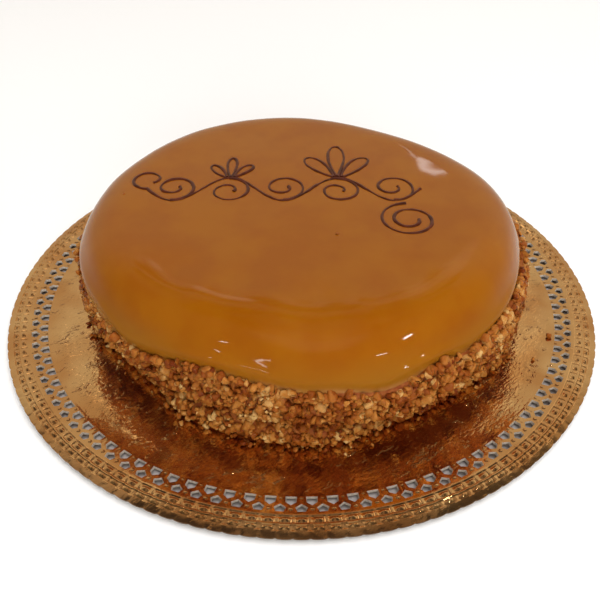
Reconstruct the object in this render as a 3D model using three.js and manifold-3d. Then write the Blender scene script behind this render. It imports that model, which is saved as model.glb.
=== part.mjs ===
// A yogurt cake on a round gold lace card tray, as a three.js scene graph.
//
// Millimetres, +Z up. The origin is the middle of the tray's underside, and the
// front of the cake is on the -Y side. The cake is uncut, so it is solid: an oval
// body whose side is pressed full of chopped caramelised almonds, a cap of caramel
// glaze over its top and shoulder, and piped chocolate scrollwork on the glaze.
import * as THREE from 'three';
import { mergeVertices } from 'three/addons/utils/BufferGeometryUtils.js';
import Module from 'manifold-3d';

const wasm = await Module();
wasm.setup();
const { Manifold, Mesh: SolidMesh } = wasm;

// ---------------------------------------------------------------- dimensions

const TRAY = {
  radius: 160,          // to the tips of the scallops
  card: 1.2,            // thickness of the pressed card
  flatRadius: 120.5,    // the flat middle, which stands on the table
  discRadius: 138,      // the smooth disc, dished from the flat middle out to here
  dish: 0.98,           // how far it rises over that way
  stepWidth: 0.8,       // the short slope from the disc up to the lace
  step: 0.25,
  borderInner: 148.6,   // where the lace ends and the plain border begins
  laceRise: 1.57,       // the lace rises this far from the step to the border
  droop: 0.5,           // the edge hangs this far below the border's inner edge
  scallops: 140,
  scallopDepth: 0.45,
};

const LACE = {
  perRow: 102,          // pentagon holes in each of the two rows
  inner: {              // flat side inwards, point outwards
    flat: 139.7, shoulder: 142.7, tip: 144.2, flatWidth: 4.9, shoulderWidth: 4.3,
  },
  outer: {              // flat side outwards, point inwards
    flat: 147.8, shoulder: 145.6, tip: 143.4, flatWidth: 3.4, shoulderWidth: 5.5,
  },
};

const CAKE = {
  x: -1.5,              // the cake stands a little off the tray's middle
  y: -2.5,
  halfWidth: 113.5,     // of the glaze at its widest
  halfDepth: 107.5,
  height: 64,           // from the disc to the top of the glaze
  sideLow: 34,          // where the glaze's side stands upright, above the disc
  flatShare: 0.72,      // the top is level out to this share of the oval
  shoulderPower: 3,     // a high number gives a tighter shoulder
};

// How the hand-made oval strays: order of the wave, cosine share, sine share.
const OUTLINE_WAVES = [
  [2, 0, -0.025],
  [3, 0.008, -0.006],
  [4, 0.009, 0.013],
];

const GLAZE = {
  thickness: 2.7,
  edgeHeight: 36,       // mean height of the glaze's lower edge above the disc
  edgeWander: 2.6,      // how far that edge rises and falls
};

// Where the glaze ran low or stayed high: middle in degrees round the cake from +X,
// millimetres up, half width in degrees.
const EDGE_DIPS = [
  [227, -5.2, 10],
  [254, 3.6, 12],
  [289, -5.6, 8],
  [315, -4.2, 16],
  [194, 5, 14],
];

const GAP = 0.3;        // between pieces that touch
const GLAZE_GAP = 0.5;  // under the glaze
const SLIVER = 0.02;

const BAND = {          // the almond band round the lower side, out from the glaze's oval
  foot: 3.4,            // the base layer
  footLean: 1.6,        // more of it to the right and less to the left
  bulge: 3.4,           // the heaped upper part
  bulgeLean: 2.6,
  waist: 12,            // height of the waist between the two
  waistLean: -3.2,
  groove: 4.2,          // depth of the waist
  grooveWidth: 2.8,     // half its height
  packed: 0.9,          // the packed grains' mean face lies this far behind the outermost
  bump: 1.3,            // relief of the packed grains
};

// Where the heaped part stands out farther, and where the base layer draws in: middle
// in degrees, millimetres, half width in degrees.
const BAND_SWELLS = [
  [8, 2.4, 14],
  [188, 1.8, 16],
];
const FOOT_TUCKS = [
  [219, 8.5, 17],
  [302, 7.5, 20],
];

const GRAIN = {
  count: 80,            // the largest grains only; the rest is relief
  largest: 6.4,
  smallest: 4.4,
  flatness: 0.62,
  raggedness: 0.22,
};

const PIPING = {
  width: 1.9,
  height: 1.2,
  sink: 0.5,
  step: 6.2,            // length of one straight bit of the line
};

const SCROLL = {        // the running scroll of vine curls on the top of the cake
  left: -80,
  right: 62,
  middleY: 4,
  halfWaves: 5,         // the first swings down
  swing: 11,
  curlRadius: 12.4,
  curlEnd: 3,
  curlTurns: 1.3,
  tallFan: 34,          // the longest leaf over the second upward wave
  shortFan: 21,         // and over the first
};

const END_CURL = { x: 53, y: -25, radius: 15, endRadius: 4.5, turns: 1.75 };
const START_CURL = { x: -80, y: 14, radius: 10, endRadius: 4, turns: -0.9 };

const STEPS = {         // how finely the round forms are cut
  disc: 51,
  border: 51,
  side: 96,
  cap: 48,
  level: 6,
};

const discTop = TRAY.card;
const full = 2 * Math.PI;

// ------------------------------------------------------------------- helpers

function seeded(seed) {
  let state = seed >>> 0;
  return () => {
    state = (state + 0x6d2b79f5) >>> 0;
    let t = state;
    t = Math.imul(t ^ (t >>> 15), t | 1);
    t ^= t + Math.imul(t ^ (t >>> 7), t | 61);
    return ((t ^ (t >>> 14)) >>> 0) / 4294967296;
  };
}

// A closed three.js geometry as a solid that can be cut and joined.
function solidFrom(geometry) {
  const bare = geometry.clone();
  bare.deleteAttribute('normal');
  bare.deleteAttribute('uv');
  const merged = mergeVertices(bare, 1e-4);
  return new Manifold(new SolidMesh({
    numProp: 3,
    vertProperties: new Float32Array(merged.attributes.position.array),
    triVerts: new Uint32Array(merged.index.array),
  }));
}

// Join solids and keep the one main body, without loose scraps, sealed pockets or
// slivers finer than SLIVER.
function fuse(solids) {
  const shells = Manifold.union(solids).simplify(SLIVER).decompose();
  return shells.sort((a, b) => b.volume() - a.volume())[0];
}

function geometryFrom(solid) {
  const mesh = solid.getMesh();
  const geometry = new THREE.BufferGeometry();
  geometry.setAttribute('position', new THREE.BufferAttribute(mesh.vertProperties, 3));
  geometry.setIndex(new THREE.BufferAttribute(mesh.triVerts, 1));
  geometry.computeVertexNormals();
  return geometry;
}

// Join two rings, given as vertex numbers in turning order; they may differ in count.
function bridge(from, to, faces) {
  let i = 0;
  let j = 0;
  while (i < from.length || j < to.length) {
    const a = from[i % from.length];
    const b = to[j % to.length];
    const lags = (i + 1) / from.length <= (j + 1) / to.length;
    if (j === to.length || (i < from.length && lags)) {
      i += 1;
      faces.push(a, from[i % from.length], b);
    } else {
      j += 1;
      faces.push(a, to[j % to.length], b);
    }
  }
}

// One closed body through rings of points: a fan over the first ring, a band from
// each ring to the next, and a fan over the last. Rings turn counter-clockwise.
function loft(firstCentre, rings, lastCentre) {
  const points = [firstCentre];
  const faces = [];
  const numbered = rings.map((ring) => ring.map((point) => points.push(point) - 1));
  const last = points.push(lastCentre) - 1;
  const first = numbered[0];
  const end = numbered[numbered.length - 1];
  first.forEach((a, k) => faces.push(0, first[(k + 1) % first.length], a));
  numbered.slice(1).forEach((ring, k) => bridge(numbered[k], ring, faces));
  end.forEach((a, k) => faces.push(last, a, end[(k + 1) % end.length]));
  const geometry = new THREE.BufferGeometry().setFromPoints(points);
  geometry.setIndex(faces);
  return geometry;
}

function circle(count, pointAt) {
  return Array.from({ length: count }, (_, k) => pointAt((full * k) / count, k));
}

// ---------------------------------------------------------------------- tray

function trayRing(count, radius, z) {
  return circle(count, (angle) => new THREE.Vector3(
    radius * Math.cos(angle), radius * Math.sin(angle), z));
}

function scallopedRing(z) {
  return circle(2 * TRAY.scallops, (angle, k) => {
    const radius = TRAY.radius - (k % 2 ? TRAY.scallopDepth : 0);
    return new THREE.Vector3(radius * Math.cos(angle), radius * Math.sin(angle), z);
  });
}

function trayBlank() {
  const laceInner = TRAY.discRadius + TRAY.stepWidth;
  const stepTop = TRAY.dish + TRAY.step;
  const borderTop = stepTop + TRAY.laceRise;
  const under = [
    trayRing(STEPS.disc, TRAY.flatRadius, 0),
    trayRing(STEPS.disc, TRAY.discRadius + TRAY.stepWidth / 2, TRAY.dish),
    trayRing(STEPS.disc, laceInner + TRAY.stepWidth / 2, stepTop),
    trayRing(STEPS.border, TRAY.borderInner, borderTop),
    scallopedRing(borderTop - TRAY.droop),
  ];
  const over = [
    scallopedRing(discTop + borderTop - TRAY.droop),
    trayRing(STEPS.border, TRAY.borderInner, discTop + borderTop),
    trayRing(STEPS.disc, laceInner, discTop + stepTop),
    trayRing(STEPS.disc, TRAY.discRadius, discTop + TRAY.dish),
    trayRing(STEPS.disc, TRAY.flatRadius, discTop),
  ];
  const bottom = new THREE.Vector3(0, 0, 0);
  const top = new THREE.Vector3(0, 0, discTop);
  return solidFrom(loft(bottom, [...under, ...over], top));
}

// One pentagon hole, cut straight down through the sloping sheet.
function pentagonCutter({ flat, shoulder, tip, flatWidth, shoulderWidth }, angle) {
  const side = Math.sign(tip - flat);
  const outline = new THREE.Shape([
    new THREE.Vector2(flat, -flatWidth / 2 * side),
    new THREE.Vector2(shoulder, -shoulderWidth / 2 * side),
    new THREE.Vector2(tip, 0),
    new THREE.Vector2(shoulder, shoulderWidth / 2 * side),
    new THREE.Vector2(flat, flatWidth / 2 * side),
  ]);
  const clear = 1;
  const depth = discTop + TRAY.dish + TRAY.step + TRAY.laceRise + 2 * clear;
  const geometry = new THREE.ExtrudeGeometry(outline, { depth, bevelEnabled: false });
  geometry.translate(0, 0, -clear);
  geometry.rotateZ(angle);
  return solidFrom(geometry);
}

function laceCutters() {
  const pitch = full / LACE.perRow;
  return Array.from({ length: LACE.perRow }, (_, k) => [
    pentagonCutter(LACE.inner, k * pitch),
    pentagonCutter(LACE.outer, (k + 0.5) * pitch),
  ]).flat();
}

function buildTray() {
  return trayBlank().subtract(Manifold.union(laceCutters()));
}

// ---------------------------------------------------------------------- cake

function outlineScale(angle) {
  return OUTLINE_WAVES.reduce((sum, [order, cosine, sine]) => (
    sum + cosine * Math.cos(order * angle) + sine * Math.sin(order * angle)), 1);
}

// A point beside the cake: out millimetres outside the glaze's oval, times share.
function cakePoint(angle, out, z, share = 1) {
  const scale = outlineScale(angle);
  return new THREE.Vector3(
    CAKE.x + (CAKE.halfWidth * scale + out) * share * Math.cos(angle),
    CAKE.y + (CAKE.halfDepth * scale + out) * share * Math.sin(angle),
    z);
}

// The top and its round shoulder: height over the tray's underside at a share of
// the oval's radius.
function domeHeight(share, under = 0) {
  const rise = CAKE.height - CAKE.sideLow - under;
  const turn = Math.max(share - CAKE.flatShare, 0) / (1 - CAKE.flatShare);
  return discTop + CAKE.sideLow + rise * Math.sqrt(1 - turn ** CAKE.shoulderPower);
}

// The sum of local swells round the cake: a high power gives them steeper ends.
function localSwell(angle, swells, power) {
  const degrees = THREE.MathUtils.radToDeg(angle);
  return swells.reduce((sum, [middle, swell, width]) => {
    const away = THREE.MathUtils.euclideanModulo(degrees - middle + 180, 360) - 180;
    return sum + swell * Math.exp(-(Math.abs(away / width) ** power));
  }, 0);
}

function glazeEdge(angle) {
  const wander = 0.6 * Math.sin(2 * angle + 2.6) + 0.4 * Math.sin(5 * angle + 0.4);
  const edge = discTop + GLAZE.edgeHeight + GLAZE.edgeWander * wander;
  return edge + localSwell(angle, EDGE_DIPS, 2);
}

function waistHeight(angle) {
  return BAND.waist + BAND.waistLean * Math.cos(angle);
}

// How far the outermost almonds stand outside the glaze's oval at a height.
function bandOut(angle, z) {
  const height = z - discTop;
  const right = Math.cos(angle);
  const above = height - waistHeight(angle);
  const foot = BAND.foot + BAND.footLean * right - localSwell(angle, FOOT_TUCKS, 4);
  const bulge = BAND.bulge + BAND.bulgeLean * right + localSwell(angle, BAND_SWELLS, 2);
  const upper = Math.min(Math.max(above / 5, 0), 1);
  const groove = BAND.groove * Math.exp(-((above / BAND.grooveWidth) ** 2));
  const rim = Math.max((height - 28) / 8, 0);
  return foot + (bulge - foot) * upper - groove - 1.6 * rim;
}

// Shares of the oval's radius where the shoulder is cut into facets, outside and,
// more coarsely, under the glaze.
const OUTER_SHARES = [0.985, 0.955, 0.9, 0.82, CAKE.flatShare];
const INNER_SHARES = [0.97, 0.87, CAKE.flatShare];

function capRing(out, under, share) {
  return circle(STEPS.cap, (angle) => cakePoint(angle, out, domeHeight(share, under), share));
}

function bandRing(heightAt, roll, isFoot) {
  return circle(STEPS.side, (angle) => {
    const z = discTop + GAP + heightAt(angle);
    const out = bandOut(angle, z) - BAND.packed + BAND.bump * (2 * roll() - 1);
    const shift = isFoot ? 0 : 0.9 * (2 * roll() - 1);
    const turn = (0.5 * (roll() - 0.5) * full) / STEPS.side;
    return cakePoint(angle + turn, out, z + shift);
  });
}

function cakeBlank(roll) {
  const hidden = GLAZE.thickness + GLAZE_GAP;
  const heights = [
    () => 0,
    () => 4.5,
    (angle) => waistHeight(angle) - 0.5,
    (angle) => waistHeight(angle) + 2.5,
    (angle) => waistHeight(angle) + 6.5,
    () => 25.5,
  ];
  const band = heights.map((heightAt, k) => bandRing(heightAt, roll, k === 0));
  const ledge = [
    circle(STEPS.side, (angle) => cakePoint(
      angle, 1 + 0.8 * roll(), glazeEdge(angle) - GAP - 0.8 * roll())),
    circle(STEPS.cap, (angle) => cakePoint(angle, -hidden, glazeEdge(angle) - GAP)),
  ];
  const cap = INNER_SHARES.map((share) => capRing(-hidden, hidden, share));
  const bottom = new THREE.Vector3(CAKE.x, CAKE.y, discTop + GAP);
  const top = new THREE.Vector3(CAKE.x, CAKE.y, domeHeight(0, hidden));
  return solidFrom(loft(bottom, [...band, ...ledge, ...cap], top));
}

// One chopped almond: a ragged block with no two corners alike.
function almondGrain(size, roll) {
  const block = new THREE.BoxGeometry(size, size * (0.7 + 0.3 * roll()), size * GRAIN.flatness);
  const corners = mergeVertices(block.deleteAttribute('normal').deleteAttribute('uv'), 1e-4);
  const position = corners.attributes.position;
  for (let k = 0; k < position.count; k += 1) {
    const corner = new THREE.Vector3().fromBufferAttribute(position, k);
    const nudge = new THREE.Vector3(roll() - 0.5, roll() - 0.5, roll() - 0.5);
    corner.addScaledVector(nudge, 2 * GRAIN.raggedness * size);
    position.setXYZ(k, corner.x, corner.y, corner.z);
  }
  corners.rotateX(full * roll());
  corners.rotateY(full * roll());
  corners.rotateZ(full * roll());
  return corners;
}

// The largest grains, spread evenly over the band by the golden ratio.
function almondGrains(roll) {
  const golden = 0.6180339887;
  const plastic = 0.7548776662;
  return Array.from({ length: GRAIN.count }, (_, k) => {
    const size = GRAIN.largest + ((GRAIN.smallest - GRAIN.largest) * k) / GRAIN.count;
    const angle = full * ((k * golden) % 1);
    const low = discTop + GAP + 0.85 * size;
    const high = glazeEdge(angle) - 0.3 * size;
    const z = low + (high - low) * ((k * plastic) % 1);
    const reachesGlaze = z + 0.8 * size > glazeEdge(angle) - GAP;
    const clearOut = reachesGlaze ? 0.75 * size + GAP : 0;
    const out = Math.max(bandOut(angle, z) - 0.2 * size, clearOut);
    const place = cakePoint(angle, out, z);
    const grain = almondGrain(size, roll);
    grain.translate(place.x, place.y, place.z);
    return solidFrom(grain);
  });
}

function buildCake() {
  const roll = seeded(41);
  return fuse([cakeBlank(roll), ...almondGrains(roll)]);
}

// --------------------------------------------------------------------- glaze

function glazeBlank() {
  const { thickness } = GLAZE;
  const inside = [...INNER_SHARES].reverse().map((share) => capRing(-thickness, thickness, share));
  const outside = OUTER_SHARES.map((share) => capRing(0, 0, share));
  // The level top needs few corners, so that the piping meets few edges there.
  const level = circle(STEPS.level, (angle) => cakePoint(
    angle, 0, domeHeight(0), 0.97 * CAKE.flatShare));
  const lip = [
    circle(STEPS.cap, (angle) => cakePoint(angle, -thickness, glazeEdge(angle) + 0.6)),
    circle(STEPS.cap, (angle) => cakePoint(angle, -0.3, glazeEdge(angle))),
  ];
  const ceiling = new THREE.Vector3(CAKE.x, CAKE.y, domeHeight(0, thickness));
  const top = new THREE.Vector3(CAKE.x, CAKE.y, domeHeight(0));
  return solidFrom(loft(ceiling, [...inside, ...lip, ...outside, level], top));
}

// ------------------------------------------------------------ piped chocolate

function spiral(x, y, radius, endRadius, startAngle, turns) {
  const length = Math.abs(turns) * Math.PI * (radius + endRadius);
  const count = Math.max(6, Math.round(length / PIPING.step));
  return Array.from({ length: count + 1 }, (_, k) => {
    const t = k / count;
    const r = radius + (endRadius - radius) * t;
    const angle = startAngle + full * turns * t;
    return new THREE.Vector2(x + r * Math.cos(angle), y + r * Math.sin(angle));
  });
}

// A leaf-shaped loop that stays open by a hair at its stalk, from x, y along a
// direction.
function leaf(x, y, direction, length, width) {
  const count = Math.round((2.2 * length) / PIPING.step);
  const stalk = 0.35;
  return Array.from({ length: count + 1 }, (_, k) => {
    const t = stalk + ((full - 2 * stalk) * k) / count;
    const along = (length * (1 - Math.cos(t))) / 2;
    const across = (width * Math.sin(t) * Math.sin(t / 2)) / 2;
    return new THREE.Vector2(
      x + along * Math.cos(direction) - across * Math.sin(direction),
      y + along * Math.sin(direction) + across * Math.cos(direction));
  });
}

function stemPoint(t) {
  const wave = Math.sin(Math.PI * SCROLL.halfWaves * t);
  return new THREE.Vector2(
    SCROLL.left + (SCROLL.right - SCROLL.left) * t,
    SCROLL.middleY - SCROLL.swing * wave);
}

function stem() {
  const count = Math.round((1.3 * (SCROLL.right - SCROLL.left)) / PIPING.step);
  return Array.from({ length: count + 1 }, (_, k) => stemPoint(k / count));
}

const swingOf = (k) => (k % 2 ? 1 : -1);

// In the hollow of each half wave the line rolls up into a curl.
function curls() {
  return Array.from({ length: SCROLL.halfWaves }, (_, k) => {
    const crest = stemPoint((k + 0.5) / SCROLL.halfWaves);
    const up = swingOf(k);
    return spiral(crest.x - 0.4, crest.y - up * (SCROLL.curlRadius + 0.3), SCROLL.curlRadius,
      SCROLL.curlEnd, (up * Math.PI) / 2, -up * SCROLL.curlTurns);
  });
}

// Three leaves that fan out over an upward wave.
function leafFan(wave, length) {
  const crest = stemPoint((wave + 0.5) / SCROLL.halfWaves);
  return [-0.6, 0, 0.6].map((lean) => leaf(
    crest.x - 3 * lean, crest.y + 0.6, Math.PI / 2 + lean, length * (lean ? 0.75 : 1), length / 3));
}

function curlAt({ x, y, radius, endRadius, turns }, startAngle) {
  return spiral(x, y, radius, endRadius, startAngle, turns);
}

function scrollwork() {
  return [
    stem(),
    ...curls(),
    ...leafFan(1, SCROLL.shortFan),
    ...leafFan(3, SCROLL.tallFan),
    curlAt(START_CURL, -Math.PI / 2),
    curlAt(END_CURL, Math.PI / 2),
  ];
}

function topHeight(x, y) {
  const dx = x - CAKE.x;
  const dy = y - CAKE.y;
  const angle = Math.atan2(dy / CAKE.halfDepth, dx / CAKE.halfWidth);
  const share = Math.hypot(dx / CAKE.halfWidth, dy / CAKE.halfDepth) / outlineScale(angle);
  return domeHeight(share);
}

// A ridge of chocolate along a line: three-sided, sunk a little into the glaze.
function ridge(line, number) {
  const height = PIPING.height + 0.04 * (number % 5);
  const sections = line.map((point, k) => {
    const before = line[Math.max(k - 1, 0)];
    const after = line[Math.min(k + 1, line.length - 1)];
    const along = after.clone().sub(before).normalize();
    const left = new THREE.Vector2(-along.y, along.x).multiplyScalar(PIPING.width / 2);
    const base = topHeight(point.x, point.y);
    return [
      new THREE.Vector3(point.x, point.y, base + height),
      new THREE.Vector3(point.x - left.x, point.y - left.y, base - PIPING.sink),
      new THREE.Vector3(point.x + left.x, point.y + left.y, base - PIPING.sink),
    ];
  });
  const middle = (section) => section.reduce(
    (sum, corner) => sum.addScaledVector(corner, 1 / 3), new THREE.Vector3());
  return solidFrom(loft(middle(sections[0]), sections, middle(sections[sections.length - 1])));
}

function buildGlaze() {
  return fuse([glazeBlank(), ...scrollwork().map(ridge)]);
}

// --------------------------------------------------------------------- scene

function piece(name, solid, color, roughness, metalness) {
  const material = new THREE.MeshStandardMaterial({ color, roughness, metalness });
  const mesh = new THREE.Mesh(geometryFrom(solid), material);
  mesh.name = name;
  return mesh;
}

const cakeOnTray = new THREE.Group();
cakeOnTray.add(
  piece('lace_tray', buildTray(), 0xc89b4a, 0.25, 1),
  piece('almond_cake', buildCake(), 0xa9682e, 0.6, 0),
  piece('caramel_glaze', buildGlaze(), 0xa8641c, 0.12, 0),
);

export default cakeOnTray;
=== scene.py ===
"""A glazed yogurt cake with a chopped-almond side, on a round gold lace card tray.

Blender works in metres, +Z up. The origin is the middle of the tray's underside and
the front of the cake is on the -Y side, as in the CAD frame that is loaded first.
Sizes are written in millimetres and turned to metres by MM.
"""
import logging
import math
from dataclasses import dataclass, field
from enum import Enum

import bpy
import numpy as np
from mathutils import Matrix, Vector


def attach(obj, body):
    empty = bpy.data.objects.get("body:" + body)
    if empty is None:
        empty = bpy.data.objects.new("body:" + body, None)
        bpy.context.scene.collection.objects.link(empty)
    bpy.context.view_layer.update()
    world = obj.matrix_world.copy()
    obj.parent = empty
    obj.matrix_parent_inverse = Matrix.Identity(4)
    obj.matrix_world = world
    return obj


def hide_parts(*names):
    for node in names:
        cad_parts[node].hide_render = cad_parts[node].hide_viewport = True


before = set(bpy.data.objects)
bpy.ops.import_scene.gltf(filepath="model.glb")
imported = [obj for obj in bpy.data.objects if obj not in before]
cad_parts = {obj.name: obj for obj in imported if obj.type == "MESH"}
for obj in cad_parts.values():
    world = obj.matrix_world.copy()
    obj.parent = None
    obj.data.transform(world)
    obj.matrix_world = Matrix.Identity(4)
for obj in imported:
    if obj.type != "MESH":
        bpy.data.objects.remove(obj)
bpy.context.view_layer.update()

BODY = "root"
MM = 0.001
FULL = 2 * math.pi
TOUCH = 0.1 * MM              # places closer than this count as the same
log = logging.getLogger("cake")


# ------------------------------------------------------------------- helpers

def linear(code: str) -> tuple[float, float, float, float]:
    """An sRGB hex colour as linear red, green, blue and alpha.

    Args:
        code: six hex digits, such as "C9A15A".

    Returns:
        Four numbers from 0 to 1 for a shader socket.
    """
    shares = [int(code[k:k + 2], 16) / 255 for k in (0, 2, 4)]
    line = [s / 12.92 if s <= 0.04045 else ((s + 0.055) / 1.055) ** 2.4 for s in shares]
    return line[0], line[1], line[2], 1.0


def add_node(tree: bpy.types.NodeTree, kind: str, settings: dict | None = None,
             **inputs: object) -> bpy.types.Node:
    """Add a shader node with its settings, values and links.

    Args:
        tree: the material's or world's node tree.
        kind: the node's type name.
        settings: node properties; "stops" lists a ramp's (place, colour) pairs.
        inputs: socket names, with _ for a space, and their values or linked sockets.
            A name that ends in a digit after "at" is that socket's number.

    Returns:
        The new node.
    """
    node = tree.nodes.new(kind)
    for name, value in (settings or {}).items():
        if name != "stops":
            setattr(node, name, value)
            continue
        elements = node.color_ramp.elements
        for place, colour in value[len(elements):]:
            elements.new(place)
        for element, (place, colour) in zip(elements, value):
            element.position = place
            element.color = colour
    for name, value in inputs.items():
        key = int(name[2:]) if name.startswith("at") and name[2:].isdigit() else name.replace("_", " ")
        if isinstance(value, bpy.types.NodeSocket):
            tree.links.new(value, node.inputs[key])
        else:
            node.inputs[key].default_value = value
    return node


def new_material(name: str) -> tuple[bpy.types.Material, bpy.types.NodeTree]:
    """An empty node material and its tree."""
    material = bpy.data.materials.new(name)
    material.use_nodes = True
    material.node_tree.nodes.clear()
    return material, material.node_tree


def own_place(tree: bpy.types.NodeTree) -> bpy.types.NodeSocket:
    """The shaded place on the object itself, in metres."""
    return add_node(tree, "ShaderNodeTexCoord").outputs["Object"]


def mapped(tree: bpy.types.NodeTree, where: bpy.types.NodeSocket,
           **inputs: tuple[float, float, float]) -> bpy.types.NodeSocket:
    """A place seen from a frame with this Location, Rotation or Scale."""
    return add_node(tree, "ShaderNodeMapping", {"vector_type": "TEXTURE"}, Vector=where,
                    **inputs).outputs["Vector"]


def length_of(tree: bpy.types.NodeTree, vector: bpy.types.NodeSocket) -> bpy.types.NodeSocket:
    """The length of a vector."""
    return add_node(tree, "ShaderNodeVectorMath", {"operation": "LENGTH"}, at0=vector).outputs["Value"]


def noise(tree: bpy.types.NodeTree, where: bpy.types.NodeSocket, size_mm: float,
          **inputs: float) -> bpy.types.NodeSocket:
    """A noise from 0 to 1 whose cells are size_mm millimetres wide."""
    return add_node(tree, "ShaderNodeTexNoise", Vector=where, Scale=1 / (size_mm * MM),
                    **inputs).outputs["Fac"]


def calculate(tree: bpy.types.NodeTree, operation: str,
              *values: bpy.types.NodeSocket | float) -> bpy.types.NodeSocket:
    """The result of a maths operation on numbers or sockets."""
    inputs = {f"at{k}": value for k, value in enumerate(values)}
    return add_node(tree, "ShaderNodeMath", {"operation": operation}, **inputs).outputs["Value"]


def remap(tree: bpy.types.NodeTree, value: bpy.types.NodeSocket, start: float, end: float,
          low: float = 0.0, high: float = 1.0, smooth: bool = False) -> bpy.types.NodeSocket:
    """Bring a value to another range and hold it there.

    Args:
        tree: the node tree.
        value: the value.
        start: where it gives low.
        end: where it gives high.
        low: the new range's start.
        high: the new range's end.
        smooth: whether it eases in and out.

    Returns:
        The new value.
    """
    kind = "SMOOTHSTEP" if smooth else "LINEAR"
    return add_node(tree, "ShaderNodeMapRange", {"interpolation_type": kind}, Value=value,
                    From_Min=start, From_Max=end, To_Min=low, To_Max=high).outputs["Result"]


def ramp(tree: bpy.types.NodeTree, value: bpy.types.NodeSocket,
         *stops: tuple[float, str]) -> bpy.types.NodeSocket:
    """The colour that a value picks between stops of place and sRGB hex colour."""
    pairs = [(place, linear(code)) for place, code in stops]
    return add_node(tree, "ShaderNodeValToRGB", {"stops": pairs}, Fac=value).outputs["Color"]


def blend(tree: bpy.types.NodeTree, share: bpy.types.NodeSocket, first: bpy.types.NodeSocket,
          second: tuple[float, float, float, float]) -> bpy.types.NodeSocket:
    """The first colour with a share of the second mixed in."""
    return add_node(tree, "ShaderNodeMix", {"data_type": "RGBA"}, Factor=share, at6=first,
                    at7=second).outputs[2]


def bump(tree: bpy.types.NodeTree, height: bpy.types.NodeSocket, depth: float,
         under: bpy.types.NodeSocket | None = None,
         strength: bpy.types.NodeSocket | float = 1.0) -> bpy.types.NodeSocket:
    """Fine relief in the shading.

    Args:
        tree: the node tree.
        height: the relief, from 0 to 1.
        depth: what 1 is in metres.
        under: the relief that this one lies on.
        strength: how much of it shows.

    Returns:
        The surface's normal.
    """
    inputs = {} if under is None else {"Normal": under}
    return add_node(tree, "ShaderNodeBump", Strength=strength, Distance=depth, Height=height,
                    **inputs).outputs["Normal"]


def surface(tree: bpy.types.NodeTree, **inputs: object) -> None:
    """Make a shader with these inputs the material's surface."""
    shader = add_node(tree, "ShaderNodeBsdfPrincipled", **inputs)
    add_node(tree, "ShaderNodeOutputMaterial", Surface=shader.outputs["BSDF"])


def begin() -> None:
    """Deselect everything, so that the next operator acts only on what it makes."""
    if bpy.context.object and bpy.context.object.mode != "OBJECT":
        bpy.ops.object.mode_set(mode="OBJECT")
    bpy.ops.object.select_all(action="DESELECT")


def make_active(piece: bpy.types.Object) -> None:
    """Select one piece alone and make it the active one."""
    begin()
    piece.select_set(True)
    bpy.context.view_layer.objects.active = piece


def places(piece: bpy.types.Object) -> np.ndarray:
    """The piece's vertex places as rows of x, y, z."""
    flat = np.zeros(3 * len(piece.data.vertices))
    piece.data.vertices.foreach_get("co", flat)
    return flat.reshape(-1, 3)


def place_all(piece: bpy.types.Object, points: np.ndarray) -> None:
    """Put every vertex of the piece at the rows of points."""
    piece.data.vertices.foreach_set("co", points.astype(np.float32).ravel())
    piece.data.update()


def pick(piece: bpy.types.Object, chosen: np.ndarray) -> None:
    """Go into edit mode with only the chosen vertices selected.

    Args:
        piece: a mesh object.
        chosen: one true or false for each vertex.
    """
    make_active(piece)
    mesh = piece.data
    mesh.polygons.foreach_set("select", np.zeros(len(mesh.polygons), bool))
    mesh.edges.foreach_set("select", np.zeros(len(mesh.edges), bool))
    mesh.vertices.foreach_set("select", chosen.astype(bool))
    bpy.ops.object.mode_set(mode="EDIT")
    bpy.ops.mesh.select_mode(type="VERT")


def apply_modifier(piece: bpy.types.Object, kind: str, **settings: object) -> None:
    """Add a modifier with its settings and apply it."""
    modifier = piece.modifiers.new(kind.title(), kind)
    for name, value in settings.items():
        setattr(modifier, name, value)
    make_active(piece)
    bpy.ops.object.modifier_apply(modifier=modifier.name)


def face_normals(piece: bpy.types.Object) -> np.ndarray:
    """The unit normals of the piece's faces as rows."""
    flat = np.zeros(3 * len(piece.data.polygons))
    piece.data.polygons.foreach_get("normal", flat)
    return flat.reshape(-1, 3)


def face_middles(piece: bpy.types.Object) -> np.ndarray:
    """The middles of the piece's faces as rows."""
    flat = np.zeros(3 * len(piece.data.polygons))
    piece.data.polygons.foreach_get("center", flat)
    return flat.reshape(-1, 3)


def hand_over(piece: bpy.types.Object, name: str, slot: str | None,
              *nodes: str) -> bpy.types.Object:
    """Name a finished piece, let it ride on the body and hide the CAD nodes that it replaces.

    Args:
        piece: the finished mesh object, at the origin.
        name: its name.
        slot: the record's material slot, or None; not used.
        nodes: the CAD nodes that it replaces.

    Returns:
        The piece.
    """
    piece.name = name
    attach(piece, BODY)
    if nodes:
        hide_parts(*nodes)
    triangles = sum(len(face.vertices) - 2 for face in piece.data.polygons)
    log.info("%s: %d triangles", name, triangles)
    return piece


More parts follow.
